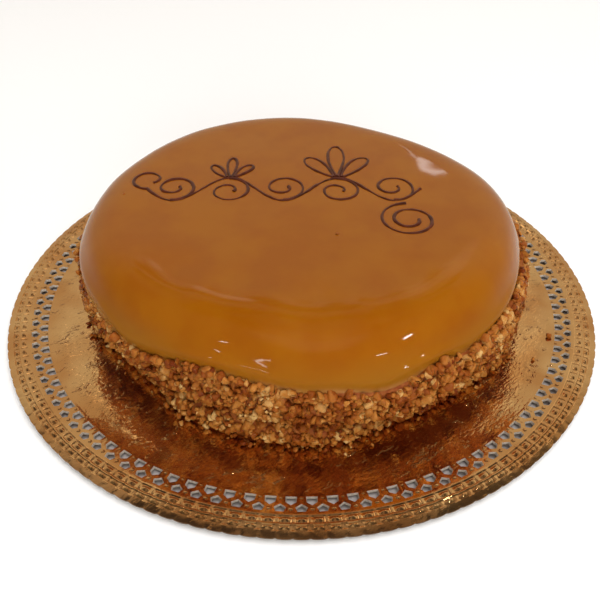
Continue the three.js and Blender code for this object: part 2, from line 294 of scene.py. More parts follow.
def ring_stack(name: str, segments: int, rings: int) -> bpy.types.Object:
    """A closed stack of unit circles, one unit apart in height, to be shaped later.

    Args:
        name: the object's name.
        segments: corners of each circle.
        rings: how many circles stand on each other.

    Returns:
        The stack, its first ring at height 0 and its ends closed to a point.
    """
    begin()
    bpy.ops.mesh.primitive_circle_add(vertices=segments, radius=1, fill_type="NOTHING")
    stack = bpy.context.object
    stack.name = name
    bpy.ops.object.mode_set(mode="EDIT")
    bpy.ops.mesh.select_all(action="SELECT")
    for _ in range(rings - 1):
        bpy.ops.mesh.extrude_region_move(TRANSFORM_OT_translate={"value": (0, 0, 1)})
    bpy.ops.mesh.extrude_region_move(TRANSFORM_OT_translate={"value": (0, 0, 1)})
    bpy.ops.mesh.merge(type="CENTER")
    bpy.ops.object.mode_set(mode="OBJECT")
    pick(stack, places(stack)[:, 2] < 0.5)
    bpy.ops.mesh.extrude_region_move(TRANSFORM_OT_translate={"value": (0, 0, -1)})
    bpy.ops.mesh.merge(type="CENTER")
    bpy.ops.mesh.select_all(action="SELECT")
    bpy.ops.mesh.normals_make_consistent(inside=False)
    bpy.ops.object.mode_set(mode="OBJECT")
    return stack


# ------------------------------------------------------------------ finishes

class Sheen(Enum):
    """How rough a surface is, from 0 for a mirror to 1 for a matt one."""

    WET = 0.045
    SET = 0.3
    SUGARED = 0.34
    SOAKED = 0.6
    BARE = 0.85


@dataclass(frozen=True)
class GoldFoil:
    """Gold-coloured foil laminated on pressed card: a mirror that the card's own
    grain breaks up, so reflections come out in short fuzzy strokes, under a thin
    lacquer that is dull. The embossing tool has smoothed the lace and the border."""

    bright: str = "F4C98B"
    deep: str = "DFA767"
    grain_mm: float = 1.4
    grain_length: float = 2.0     # of a stroke, in grain widths
    grain_turn: float = math.radians(42)
    grain_height: float = 0.17 * MM
    fleck_mm: float = 3.4
    fleck_height: float = 0.3 * MM
    cockle_mm: float = 26
    cockle_height: float = 0.9 * MM
    smoothed_between: tuple[float, float] = (132 * MM, 140 * MM)    # radii of the smoothing's start and end
    smoothed_grain: float = 0.22  # what it leaves of the grain and the flecks
    crease_at: tuple[float, float, float] = (-18 * MM, -127 * MM, 0)    # one shallow blister
    crease_size: tuple[float, float, float] = (24 * MM, 8 * MM, 20 * MM)
    crease_height: float = 0.5 * MM
    roughness: tuple[float, float] = (0.04, 0.12)     # between a grain's hollow and its top
    lacquer: float = 0.6
    lacquer_roughness: float = 0.5

    def material(self) -> bpy.types.Material:
        """The foil's material."""
        material, tree = new_material("gold foil on card")
        where = own_place(tree)
        cockle = noise(tree, where, self.cockle_mm, Detail=2)
        stroke = mapped(tree, where, Rotation=(0, 0, self.grain_turn), Scale=(self.grain_length, 1, 1))
        grain = noise(tree, stroke, self.grain_mm, Detail=2, Roughness=0.5, Distortion=0.3)
        fleck = noise(tree, stroke, self.fleck_mm, Detail=3, Roughness=0.6)
        loose = remap(tree, length_of(tree, where), *self.smoothed_between, 1.0, self.smoothed_grain)
        blister = mapped(tree, where, Location=self.crease_at, Scale=self.crease_size)
        crease = remap(tree, length_of(tree, blister), 1.0, 0.0, smooth=True)
        relief = bump(tree, crease, self.crease_height)
        relief = bump(tree, cockle, self.cockle_height, relief)
        relief = bump(tree, remap(tree, fleck, 0.6, 0.7, smooth=True), self.fleck_height, relief, loose)
        relief = bump(tree, grain, self.grain_height, relief, loose)
        surface(tree, Base_Color=ramp(tree, cockle, (0.35, self.deep), (0.65, self.bright)),
                Metallic=1.0, Roughness=remap(tree, grain, 0.0, 1.0, *self.roughness),
                Coat_Weight=self.lacquer, Coat_Roughness=self.lacquer_roughness, Normal=relief)
        return material


@dataclass(frozen=True)
class CutCard:
    """Bare grey pulp card, where the die cut through the foil and beneath:
    matt, faintly fibrous."""

    pale: str = "BCB1A4"
    dark: str = "9C9184"
    fibre_mm: float = 0.8
    fibre_height: float = 0.05 * MM

    def material(self) -> bpy.types.Material:
        """The card's material."""
        material, tree = new_material("cut pulp card")
        fibre = noise(tree, own_place(tree), self.fibre_mm, Detail=4)
        surface(tree, Base_Color=ramp(tree, fibre, (0.35, self.dark), (0.6, self.pale)),
                Roughness=Sheen.BARE.value, Normal=bump(tree, fibre, self.fibre_height, strength=0.3))
        return material


@dataclass(frozen=True)
class CaramelGlaze:
    """Caramel mirror glaze poured warm over a chilled cake: translucent, wet-looking
    and level, a little yellower where it has run thin down the side, and paler along
    its lip, where a reflection of the pale floor is painted on."""

    NEAR_LIP = "near_lip"         # the mesh attribute that is 1 at the lip and 0 away from it
    # Painted reflection along the lip: the pale floor's colour, its patches and their share.
    lip_reflection: str = "A9784A"
    lip_reflection_mm: float = 15
    lip_reflection_share: tuple[float, float] = (0.1, 0.6)
    body: str = "955607"
    thick: str = "8F4E05"
    thin: str = "925C12"
    mottle_mm: float = 26
    ripple_mm: float = 34
    ripple_height: float = 0.5 * MM
    thin_between: tuple[float, float] = (36 * MM, 52 * MM)      # heights of all thin and none

    def material(self) -> bpy.types.Material:
        """The glaze's material."""
        material, tree = new_material("caramel mirror glaze")
        where = own_place(tree)
        mottle = noise(tree, where, self.mottle_mm, Detail=3, Roughness=0.55)
        pooled = ramp(tree, mottle, (0.38, self.thick), (0.62, self.body))
        height = add_node(tree, "ShaderNodeSeparateXYZ", Vector=where).outputs["Z"]
        down = remap(tree, height, *self.thin_between, 1.0, 0.0, smooth=True)
        colour = blend(tree, down, pooled, linear(self.thin))
        near_lip = add_node(tree, "ShaderNodeAttribute", {"attribute_name": self.NEAR_LIP}).outputs["Fac"]
        # Painted reflection: the pale colour mixed in along the lip, in patches.
        reflection_patches = remap(tree, noise(tree, where, self.lip_reflection_mm, Detail=2), 0.4, 0.6, *self.lip_reflection_share)
        share = calculate(tree, "MULTIPLY", reflection_patches, near_lip)
        ripple = noise(tree, where, self.ripple_mm, Detail=1)
        surface(tree, Base_Color=blend(tree, share, colour, linear(self.lip_reflection)),
                Roughness=Sheen.WET.value, IOR=1.46, Subsurface_Weight=0.25,
                Subsurface_Radius=(1.0, 0.45, 0.15), Subsurface_Scale=3 * MM,
                Normal=bump(tree, ripple, self.ripple_height, strength=0.25))
        return material


@dataclass(frozen=True)
class PipedChocolate:
    """Dark chocolate piped from a paper cone and set: near-black brown with a soft
    waxy shine."""

    dark: str = "3A150C"
    light: str = "5C2716"
    wobble_mm: float = 5

    def material(self) -> bpy.types.Material:
        """The chocolate's material."""
        material, tree = new_material("piped chocolate")
        wobble = noise(tree, own_place(tree), self.wobble_mm, Detail=2)
        surface(tree, Base_Color=ramp(tree, wobble, (0.3, self.dark), (0.75, self.light)),
                Roughness=Sheen.SET.value, IOR=1.46)
        return material


@dataclass(frozen=True)
class CaramelisedAlmond:
    """Almonds chopped and tossed in caramel: cut faces from pale cream to deep amber,
    some still in their brown skin, under a thin sugar coat."""

    TONE = "tone"                 # the mesh attribute that holds each grain's own tone
    skin: str = "6A2C0C"
    amber: str = "8E4A16"
    gold: str = "AD6F2E"
    cream: str = "CCA264"
    fleck_mm: float = 1.8
    fleck_shift: float = 0.45     # range of tone across a grain
    fleck_height: float = 0.15 * MM
    patch_mm: float = 13
    patch_shift: float = 0.9      # range of tone from one patch of the side to the next

    def material(self) -> bpy.types.Material:
        """The almonds' material, which reads each grain's own tone."""
        material, tree = new_material("caramelised almond")
        tone = add_node(tree, "ShaderNodeAttribute", {"attribute_name": self.TONE}).outputs["Fac"]
        where = own_place(tree)
        fleck = noise(tree, where, self.fleck_mm, Detail=3, Roughness=0.6)
        patch = noise(tree, where, self.patch_mm, Detail=1)
        shift = calculate(tree, "MULTIPLY_ADD", fleck, self.fleck_shift, -self.fleck_shift / 2)
        drift = calculate(tree, "MULTIPLY_ADD", patch, self.patch_shift, -self.patch_shift / 2)
        mixed = calculate(tree, "ADD", tone, calculate(tree, "ADD", shift, drift))
        colour = ramp(tree, mixed, (0.02, self.skin), (0.3, self.amber), (0.62, self.gold),
                      (0.97, self.cream))
        surface(tree, Base_Color=colour, Roughness=Sheen.SUGARED.value, IOR=1.35,
                Subsurface_Weight=0.15, Subsurface_Radius=(1.0, 0.5, 0.25), Subsurface_Scale=1.2 * MM,
                Normal=bump(tree, fleck, self.fleck_height, strength=0.5))
        return material


@dataclass(frozen=True)
class CaramelCrumb:
    """The caramel-soaked edge of sponge and mousse that the almonds are pressed into:
    dark, rough, only seen in the gaps."""

    dark: str = "7C360F"
    light: str = "A05C28"
    pore_mm: float = 2.6
    pore_depth: float = 0.5 * MM

    def material(self) -> bpy.types.Material:
        """The soaked sponge's material."""
        material, tree = new_material("caramel soaked sponge")
        pore = noise(tree, own_place(tree), self.pore_mm, Detail=4)
        surface(tree, Base_Color=ramp(tree, pore, (0.35, self.dark), (0.7, self.light)),
                Roughness=Sheen.SOAKED.value, Normal=bump(tree, pore, self.pore_depth, strength=0.7))
        return material


# ---------------------------------------------------------------------- tray

@dataclass
class FoilTray:
    """The round tray: pressed card under gold foil, a lace of pentagon holes and an
    embossed, scalloped border. Radii are from the tray's middle."""

    card: float = 1.2 * MM        # the sheet's thickness
    flat_radius: float = 117 * MM     # the middle that stands on the table
    bend: float = 7 * MM          # over which the sheet turns up round it
    dish_ring: float = 131 * MM   # one more ring of corners across the dished part
    slope: float = 0.056          # of the dished part, out to the lace
    lace_slope: float = 0.16      # of the lace, out to the border
    disc_radius: float = 138 * MM
    step_width: float = 0.8 * MM
    step: float = 0.25 * MM
    border_inner: float = 148.6 * MM
    border_bead: float = 0.6 * MM     # width of the border's rounded inner edge
    edge_rings: tuple[float, ...] = (157.4 * MM, 158.2 * MM, 159.0 * MM, 159.6 * MM)
    radius: float = 160 * MM
    crown: float = 0.5 * MM
    droop: float = 0.5 * MM
    scallops: int = 140
    scallop_depth: float = 0.45 * MM
    # Rings that are drawn in between scallops: inside and outside radius, share.
    scalloped: tuple[tuple[float, float, float], ...] = ((157 * MM, 158.5 * MM, 0.45),
                                                         (158.8 * MM, 161 * MM, 1))
    corners: int = 8              # of each scallop
    coffer_depth: float = 0.4 * MM
    stud_rise: float = 0.75 * MM  # of the stud in each coffer, from its floor
    # Radii across a coffer: its rim, floor, stud's foot, stud's top, and out again.
    inner_coffer: tuple[float, ...] = (149.7 * MM, 150.1 * MM, 150.5 * MM, 151.2 * MM, 152.1 * MM,
                                       152.8 * MM, 153.1 * MM, 153.5 * MM)
    outer_coffer: tuple[float, ...] = (154.0 * MM, 154.3 * MM, 154.6 * MM, 155.1 * MM, 155.7 * MM,
                                       156.2 * MM, 156.5 * MM, 156.8 * MM)
    floor_steps: int = 3          # corners that a coffer's floor reaches to either side
    stud_steps: int = 1           # and its stud
    lace_holes: int = 102         # in each of the two rows
    # Each row's holes: radii of the flat side, of the shoulders and of the point.
    inner_row: tuple[float, float, float] = (139.7 * MM, 142.7 * MM, 144.2 * MM)
    outer_row: tuple[float, float, float] = (147.8 * MM, 145.6 * MM, 143.4 * MM)
    inner_widths: tuple[float, float] = (4.9 * MM, 4.3 * MM)     # flat side, shoulders
    outer_widths: tuple[float, float] = (3.4 * MM, 5.5 * MM)
    hole_draft: tuple[float, float] = (0.68, 1.14)      # a punch's size at its bottom and top
    # The pips between the holes of each row: radius of their ring, and of a pip.
    pips: tuple[tuple[float, float], ...] = ((140.5 * MM, 0.75 * MM), (146.4 * MM, 1.0 * MM))
    pip_rise: float = 0.35        # of its radius that a pip stands proud
    wall_tilt: float = 0.45       # a lace face whose normal rises less is the wall of a hole
    under_tilt: float = -0.3      # any face whose normal rises less is the underside
    crisp_angle: float = math.radians(52)     # edges sharper than this stay crisp

    def build(self) -> bpy.types.Object:
        """Press, punch and foil the tray.

        Returns:
            The finished tray.
        """
        tray = self.sheet()
        self.emboss(tray)
        self.scallop(tray)
        self.orient(tray)
        apply_modifier(tray, "SOLIDIFY", thickness=self.card, offset=-1)
        self.punch(tray)
        self.stud(tray)
        self.dress(tray)
        return hand_over(tray, "foil_tray", "gold_foil_card", "lace_tray")

    def climb(self, radius: float) -> float:
        """How far the dished sheet stands above its flat middle at a radius."""
        reach = max(min(radius, self.disc_radius) - self.flat_radius, 0)
        bent = min(reach, self.bend)
        dish = self.slope * (bent ** 2 / (2 * self.bend) + reach - bent)
        if radius <= self.disc_radius:
            return dish
        lace = min(radius, self.border_inner) - self.disc_radius - self.step_width
        return dish + self.step + self.lace_slope * lace

    def crown_height(self, radius: float) -> float:
        """How far the border's top stands above the flat middle at a radius."""
        share = (radius - self.border_inner) / (self.radius - self.border_inner)
        return self.climb(radius) + self.crown * math.sin(math.pi * share) - self.droop * share ** 2

    def profile(self) -> list[tuple[float, float]]:
        """The sheet's section from its flat middle out, as radius and height."""
        dished = [self.flat_radius + self.bend * k / 3 for k in range(4)]
        dished += [self.dish_ring, self.disc_radius, self.disc_radius + self.step_width]
        radii = [self.border_inner, self.border_inner + self.border_bead]
        radii += [*self.inner_coffer, *self.outer_coffer, *self.edge_rings, self.radius]
        return [(r, self.climb(r)) for r in dished] + [(r, self.crown_height(r)) for r in radii]

    def sheet(self) -> bpy.types.Object:
        """The foil side as one sheet, extruded ring by ring from its flat middle."""
        section = self.profile()
        start = section[0][0]
        begin()
        bpy.ops.mesh.primitive_circle_add(
            vertices=self.scallops * self.corners, radius=start, fill_type="NGON",
            location=(0, 0, self.card))
        tray = bpy.context.object
        bpy.ops.object.transform_apply(location=True)
        pick(tray, np.ones(len(tray.data.vertices), bool))
        bpy.ops.mesh.select_all(action="SELECT")
        bpy.ops.mesh.inset(thickness=0.25 * start, use_boundary=True)
        bpy.ops.object.mode_set(mode="OBJECT")
        radial = np.hypot(*places(tray)[:, :2].T)
        pick(tray, radial > start - TOUCH)
        for (before, low), (after, high) in zip(section, section[1:]):
            bpy.ops.mesh.extrude_region_move(TRANSFORM_OT_translate={"value": (0, 0, high - low)})
            bpy.ops.transform.resize(value=(after / before, after / before, 1),
                                     center_override=(0, 0, 0))
        bpy.ops.object.mode_set(mode="OBJECT")
        return tray

    def turn_steps(self, tray: bpy.types.Object) -> np.ndarray:
        """How many corners each vertex is from the middle of its scallop."""
        x, y = places(tray)[:, :2].T
        steps = np.arctan2(y, x) / FULL * self.scallops * self.corners
        half = self.corners / 2
        return np.rint((steps + half) % self.corners - half).astype(int)

    def emboss(self, tray: bpy.types.Object) -> None:
        """Press two rows of coffers into the border and a stud up in each."""
        points = places(tray)
        radial = np.hypot(points[:, 0], points[:, 1])
        away = np.abs(self.turn_steps(tray))
        slack = 0.05 * MM
        for rings in (self.inner_coffer, self.outer_coffer):
            for start, end, steps, lift in ((rings[1], rings[-2], self.floor_steps, -self.coffer_depth),
                                            (rings[3], rings[4], self.stud_steps, self.stud_rise)):
                pick(tray, (radial > start - slack) & (radial < end + slack) & (away <= steps))
                bpy.ops.transform.translate(value=(0, 0, lift))
        bpy.ops.object.mode_set(mode="OBJECT")

    def scallop(self, tray: bpy.types.Object) -> None:
        """Draw the tray's edge in between the scallops, corner by corner."""
        points = places(tray)
        radial = np.hypot(points[:, 0], points[:, 1])
        away = np.abs(self.turn_steps(tray))
        half = self.corners // 2
        for k in range(1, half + 1):
            inward = self.scallop_depth * (1 - math.sqrt(max(1 - (k / half) ** 2, 0)))
            for inside, outside, part in self.scalloped:
                pick(tray, (away == k) & (radial > inside) & (radial < outside))
                share = 1 - part * inward / self.radius
                bpy.ops.transform.resize(value=(share, share, 1), center_override=(0, 0, 0))
        bpy.ops.object.mode_set(mode="OBJECT")

    def orient(self, tray: bpy.types.Object) -> None:
        """Make the sheet's faces point up."""
        pick(tray, np.ones(len(tray.data.vertices), bool))
        bpy.ops.mesh.remove_doubles(threshold=0.001 * MM)
        bpy.ops.mesh.select_all(action="SELECT")
        bpy.ops.mesh.normals_make_consistent(inside=False)
        bpy.ops.object.mode_set(mode="OBJECT")
        if face_normals(tray)[:, 2].mean() < 0:
            tray.data.flip_normals()

    def pentagons(self, row: tuple[float, float, float], widths: tuple[float, float],
                  angle: float) -> bpy.types.Object:
        """A row of pentagon punches, standing through the lace.

        Args:
            row: radii of their flat sides, shoulders and points.
            widths: of the flat side and of the shoulders.
            angle: where the first stands round the tray.

        Returns:
            The punches as one object.
        """
        flat, shoulder, tip = row
        flat_width, shoulder_width = widths
        begin()
        bpy.ops.mesh.primitive_plane_add(size=1, location=((flat + shoulder) / 2, 0, self.climb(flat) - MM))
        punch = bpy.context.object
        punch.scale = (abs(shoulder - flat), shoulder_width, 1)
        bpy.ops.object.transform_apply(location=True, scale=True)
        near_flat = np.abs(places(punch)[:, 0] - flat) < TOUCH
        pick(punch, near_flat)
        bpy.ops.transform.resize(value=(1, flat_width / shoulder_width, 1),
                                 center_override=(flat, 0, 0))
        bpy.ops.object.mode_set(mode="OBJECT")
        pick(punch, ~near_flat)
        bpy.ops.mesh.subdivide(number_cuts=1)
        bpy.ops.object.mode_set(mode="OBJECT")
        pick(punch, np.abs(places(punch)[:, 1]) < TOUCH)
        bpy.ops.transform.translate(value=(tip - shoulder, 0, 0))
        middle = ((flat + tip) / 2, 0, 0)
        narrow, wide = self.hole_draft
        bpy.ops.mesh.select_all(action="SELECT")
        bpy.ops.transform.resize(value=(narrow, narrow, 1), center_override=middle)
        bpy.ops.mesh.extrude_region_move(TRANSFORM_OT_translate={"value": (0, 0, self.card + 2 * MM)})
        bpy.ops.transform.resize(value=(wide / narrow, wide / narrow, 1), center_override=middle)
        bpy.ops.mesh.select_all(action="SELECT")
        self.turn(punch, angle)
        return punch

    def pip_ring(self, radius: float, size: float, angle: float) -> bpy.types.Object:
        """A ring of pips, each a flattened ball half sunk in the sheet.

        Args:
            radius: of the ring.
            size: radius of a pip.
            angle: where the first stands round the tray.

        Returns:
            The pips as one object.
        """
        begin()
        bpy.ops.mesh.primitive_uv_sphere_add(segments=10, ring_count=6, radius=size)
        ball = bpy.context.object
        ball.scale = (1, 1, self.pip_rise)
        ball.location = (radius, 0, self.card + self.climb(radius) - 0.02 * MM)
        bpy.ops.object.transform_apply(location=True, scale=True)
        pick(ball, np.ones(len(ball.data.vertices), bool))
        self.turn(ball, angle)
        return ball

    def turn(self, punch: bpy.types.Object, angle: float) -> None:
        """Turn a punch about the tray's middle and copy it all the way round."""
        bpy.ops.mesh.select_all(action="SELECT")
        bpy.ops.mesh.normals_make_consistent(inside=False)
        bpy.ops.object.mode_set(mode="OBJECT")
        punch.data.transform(Matrix.Rotation(angle, 4, "Z"))
        pick(punch, np.ones(len(punch.data.vertices), bool))
        bpy.ops.mesh.select_all(action="SELECT")
        last = FULL * (self.lace_holes - 1) / self.lace_holes
        bpy.ops.mesh.spin(steps=self.lace_holes - 1, dupli=True, angle=last,
                          center=(0, 0, 0), axis=(0, 0, 1))
        bpy.ops.object.mode_set(mode="OBJECT")

    def punch(self, tray: bpy.types.Object) -> None:
        """Cut the lace: two rows of pentagons, point to point."""
        half_pitch = math.pi / self.lace_holes
        for punch in (self.pentagons(self.inner_row, self.inner_widths, 0),
                      self.pentagons(self.outer_row, self.outer_widths, half_pitch)):
            apply_modifier(tray, "BOOLEAN", object=punch, operation="DIFFERENCE", solver="MANIFOLD")
            bpy.data.objects.remove(punch)

    def stud(self, tray: bpy.types.Object) -> None:
        """Raise the pips between the holes."""
        half_pitch = math.pi / self.lace_holes
        for (radius, size), angle in zip(self.pips, (half_pitch, 0)):
            ring = self.pip_ring(radius, size, angle)
            apply_modifier(tray, "BOOLEAN", object=ring, operation="UNION", solver="MANIFOLD")
            bpy.data.objects.remove(ring)

    def dress(self, tray: bpy.types.Object) -> None:
        """Foil on what faces up or out, bare card below and where the lace is cut."""
        mesh = tray.data
        mesh.materials.clear()
        mesh.materials.append(GoldFoil().material())
        mesh.materials.append(CutCard().material())
        normals = face_normals(tray)
        radial = np.hypot(*face_middles(tray)[:, :2].T)
        lace = (radial > self.disc_radius + MM) & (radial < self.border_inner)
        bare = (lace & (normals[:, 2] < self.wall_tilt)) | (normals[:, 2] < self.under_tilt)
        mesh.polygons.foreach_set("material_index", bare.astype(np.int32))
        make_active(tray)
        bpy.ops.object.shade_smooth_by_angle(angle=self.crisp_angle)


# ---------------------------------------------------------------------- cake

@dataclass(frozen=True)
class CakeForm:
    """The hand-made oval that cake, almonds and glaze all follow, in metres.

    Angles run counter-clockwise from +X, and out is measured from the glaze's oval.
    """

    x: float = -1.5 * MM
    y: float = -2.5 * MM
    half_width: float = 113.5 * MM
    half_depth: float = 107.5 * MM
    height: float = 64 * MM
    side_low: float = 34 * MM     # where the rounded shoulder ends
    flat_share: float = 0.72      # of the oval that is flat on top
    shoulder_power: float = 3
    disc_top: float = 1.2 * MM
    edge_height: float = 36 * MM  # of the glaze's lower edge over the disc
    edge_wander: float = 2.6 * MM
    edge_waves: tuple[tuple[int, float, float], ...] = ((2, 0.6, 2.6), (5, 0.4, 0.4))   # times, share, shift
    # The almond band's face in millimetres: how far its foot and its bulge stand out, and
    # how high the groove between them runs. Each is more, or less, to the right by its lean.
    foot: float = 3.4
    foot_lean: float = 1.6
    bulge: float = 3.4
    bulge_lean: float = 2.6
    waist: float = 12
    waist_lean: float = -3.2
    groove: float = 4.2
    groove_width: float = 2.8
    bulge_over: float = 5         # height in which the band comes out to its bulge
    rim_from: float = 28          # from here up it draws in under the glaze,
    rim_over: float = 8           # in this height
    rim_in: float = 1.6           # by this much
    # How the outline strays from an ellipse: times round, cosine's and sine's share.
    waves: tuple[tuple[int, float, float], ...] = ((2, 0, -0.025), (3, 0.008, -0.006), (4, 0.009, 0.013))
    # Where the glaze ran low or stayed high, where the band stands out farther and where
    # the foot draws in: middle and half width in degrees, with millimetres between them.
    dips: tuple[tuple[float, float, float], ...] = ((-133, -5.2, 10), (-106, 3.6, 12), (-71, -5.6, 8),
                                                    (-45, -4.2, 16), (-166, 5, 14))
    swells: tuple[tuple[float, float, float], ...] = ((8, 2.4, 14), (-172, 1.8, 16))
    tucks: tuple[tuple[float, float, float], ...] = ((-141, 8.5, 17), (-58, 7.5, 20))

    def scale(self, angle: np.ndarray) -> np.ndarray:
        """How far the outline strays from a true ellipse at an angle."""
        return 1 + sum(c * np.cos(n * angle) + s * np.sin(n * angle) for n, c, s in self.waves)

    def points(self, angle: np.ndarray, out: np.ndarray, z: np.ndarray,
               share: np.ndarray | float = 1.0) -> np.ndarray:
        """Places beside or on the cake.

        Args:
            angle: round the cake.
            out: metres outside the glaze's oval.
            z: height over the tray's underside.
            share: part of the way from the cake's middle.

        Returns:
            Rows of x, y, z.
        """
        scale = self.scale(angle)
        x = self.x + (self.half_width * scale + out) * share * np.cos(angle)
        y = self.y + (self.half_depth * scale + out) * share * np.sin(angle)
        return np.stack([x, y, z + 0 * x], axis=1)

    def dome(self, share: np.ndarray, under: float = 0) -> np.ndarray:
        """Height of the top and its shoulder at a share of the oval."""
        turn = np.clip((share - self.flat_share) / (1 - self.flat_share), 0, 1)
        rise = self.height - self.side_low - under
        return self.disc_top + self.side_low + rise * np.sqrt(1 - turn ** self.shoulder_power)

    def local(self, angle: np.ndarray, places_on_it: tuple[tuple[float, float, float], ...],
              power: int) -> np.ndarray:
        """The sum of some local swells round the cake, in millimetres.

        Args:
            angle: round the cake.
            places_on_it: middle in degrees, millimetres, half width in degrees.
            power: 2 for a round swell, 4 for one with steeper ends.

        Returns:
            Millimetres at each angle.
        """
        total = 0 * angle
        for middle, swell, width in places_on_it:
            away = (np.degrees(angle) - middle + 180) % 360 - 180
            total = total + swell * np.exp(-np.abs(away / width) ** power)
        return total

    def glaze_edge(self, angle: np.ndarray) -> np.ndarray:
        """Height of the glaze's lower edge round the cake."""
        wander = sum(share * np.sin(n * angle + shift) for n, share, shift in self.edge_waves)
        edge = self.disc_top + self.edge_height + self.edge_wander * wander
        return edge + self.local(angle, self.dips, 2) * MM

    def band_out(self, angle: np.ndarray, z: np.ndarray) -> np.ndarray:
        """How far the almond band's face stands outside the oval."""
        height = (z - self.disc_top) / MM
        right = np.cos(angle)
        foot = self.foot + self.foot_lean * right - self.local(angle, self.tucks, 4)
        bulge = self.bulge + self.bulge_lean * right + self.local(angle, self.swells, 2)
        waist = self.waist + self.waist_lean * right
        upper = np.clip((height - waist) / self.bulge_over, 0, 1)
        groove = self.groove * np.exp(-(((height - waist) / self.groove_width) ** 2))
        rim = np.maximum((height - self.rim_from) / self.rim_over, 0)
        return (foot + (bulge - foot) * upper - groove - self.rim_in * rim) * MM


FORM = CakeForm()


@dataclass
class CakeBody:
    """The soaked side of the cake, under the almonds and the glaze."""

    form: CakeForm = FORM
    segments: int = 360
    inset: float = 2.3 * MM       # behind the almond band's face
    glaze_gap: float = 3.2 * MM
    lift: float = 0.3 * MM
    side_rings: int = 24
    cap_shares: tuple[float, ...] = (0.97, 0.93, 0.87, 0.8, 0.72, 0.4)
    lump: float = 2.4 * MM
    lump_size: float = 5 * MM
    lumps_between: tuple[float, float] = (0.8 * MM, 30 * MM)      # heights over the disc

    def build(self) -> bpy.types.Object:
        """Stack, shape and dress the body.

        Returns:
            The finished body.
        """
        rings = self.side_rings + 1 + len(self.cap_shares)
        body = ring_stack("cake_core", self.segments, rings)
        self.shape(body, rings)
        self.roughen(body)
        body.data.materials.append(CaramelCrumb().material())
        body.data.shade_smooth()
        return hand_over(body, "cake_core", "caramelised_almond", "almond_cake")

    def shape(self, body: bpy.types.Object, rings: int) -> None:
        """Draw the rings out to the cake's oval, its waist and its cap."""
        unit = places(body)
        angle = np.arctan2(unit[:, 1], unit[:, 0])
        level = np.rint(unit[:, 2]).astype(int)
        foot = self.form.disc_top + self.lift
        edge = self.form.glaze_edge(angle)
        ledge = edge - self.lift
        climb = np.clip(level / (self.side_rings - 1), 0, 1)
        z = foot + (ledge - foot) * climb
        shaped = self.form.points(angle, self.form.band_out(angle, z) - self.inset, z)
        under = self.form.points(angle, -self.glaze_gap, ledge)
        shaped[level >= self.side_rings] = under[level >= self.side_rings]
        for k, share in enumerate(self.cap_shares):
            ring = level == self.side_rings + 1 + k
            cap = self.form.points(angle, -self.glaze_gap,
                                   self.form.dome(np.full(len(angle), share), self.glaze_gap), share)
            shaped[ring] = cap[ring]
        top = self.form.dome(np.zeros(1), self.glaze_gap)[0]
        shaped[level < 0] = (self.form.x, self.form.y, foot)
        shaped[level >= rings] = (self.form.x, self.form.y, top)
        place_all(body, shaped)

    def roughen(self, body: bpy.types.Object) -> None:
        """Push the side in and out in lumps, as almonds and caramel set on it."""
        side = body.vertex_groups.new(name="side")
        heights = places(body)[:, 2]
        low, high = (self.form.disc_top + height for height in self.lumps_between)
        side.add(np.flatnonzero((heights > low) & (heights < high)).tolist(), 1, "REPLACE")
        clouds = bpy.data.textures.new("set lumps", "CLOUDS")
        clouds.noise_scale = self.lump_size
        apply_modifier(body, "DISPLACE", texture=clouds, strength=self.lump, mid_level=0.5,
                       texture_coords="LOCAL", vertex_group="side")
        bpy.data.textures.remove(clouds)


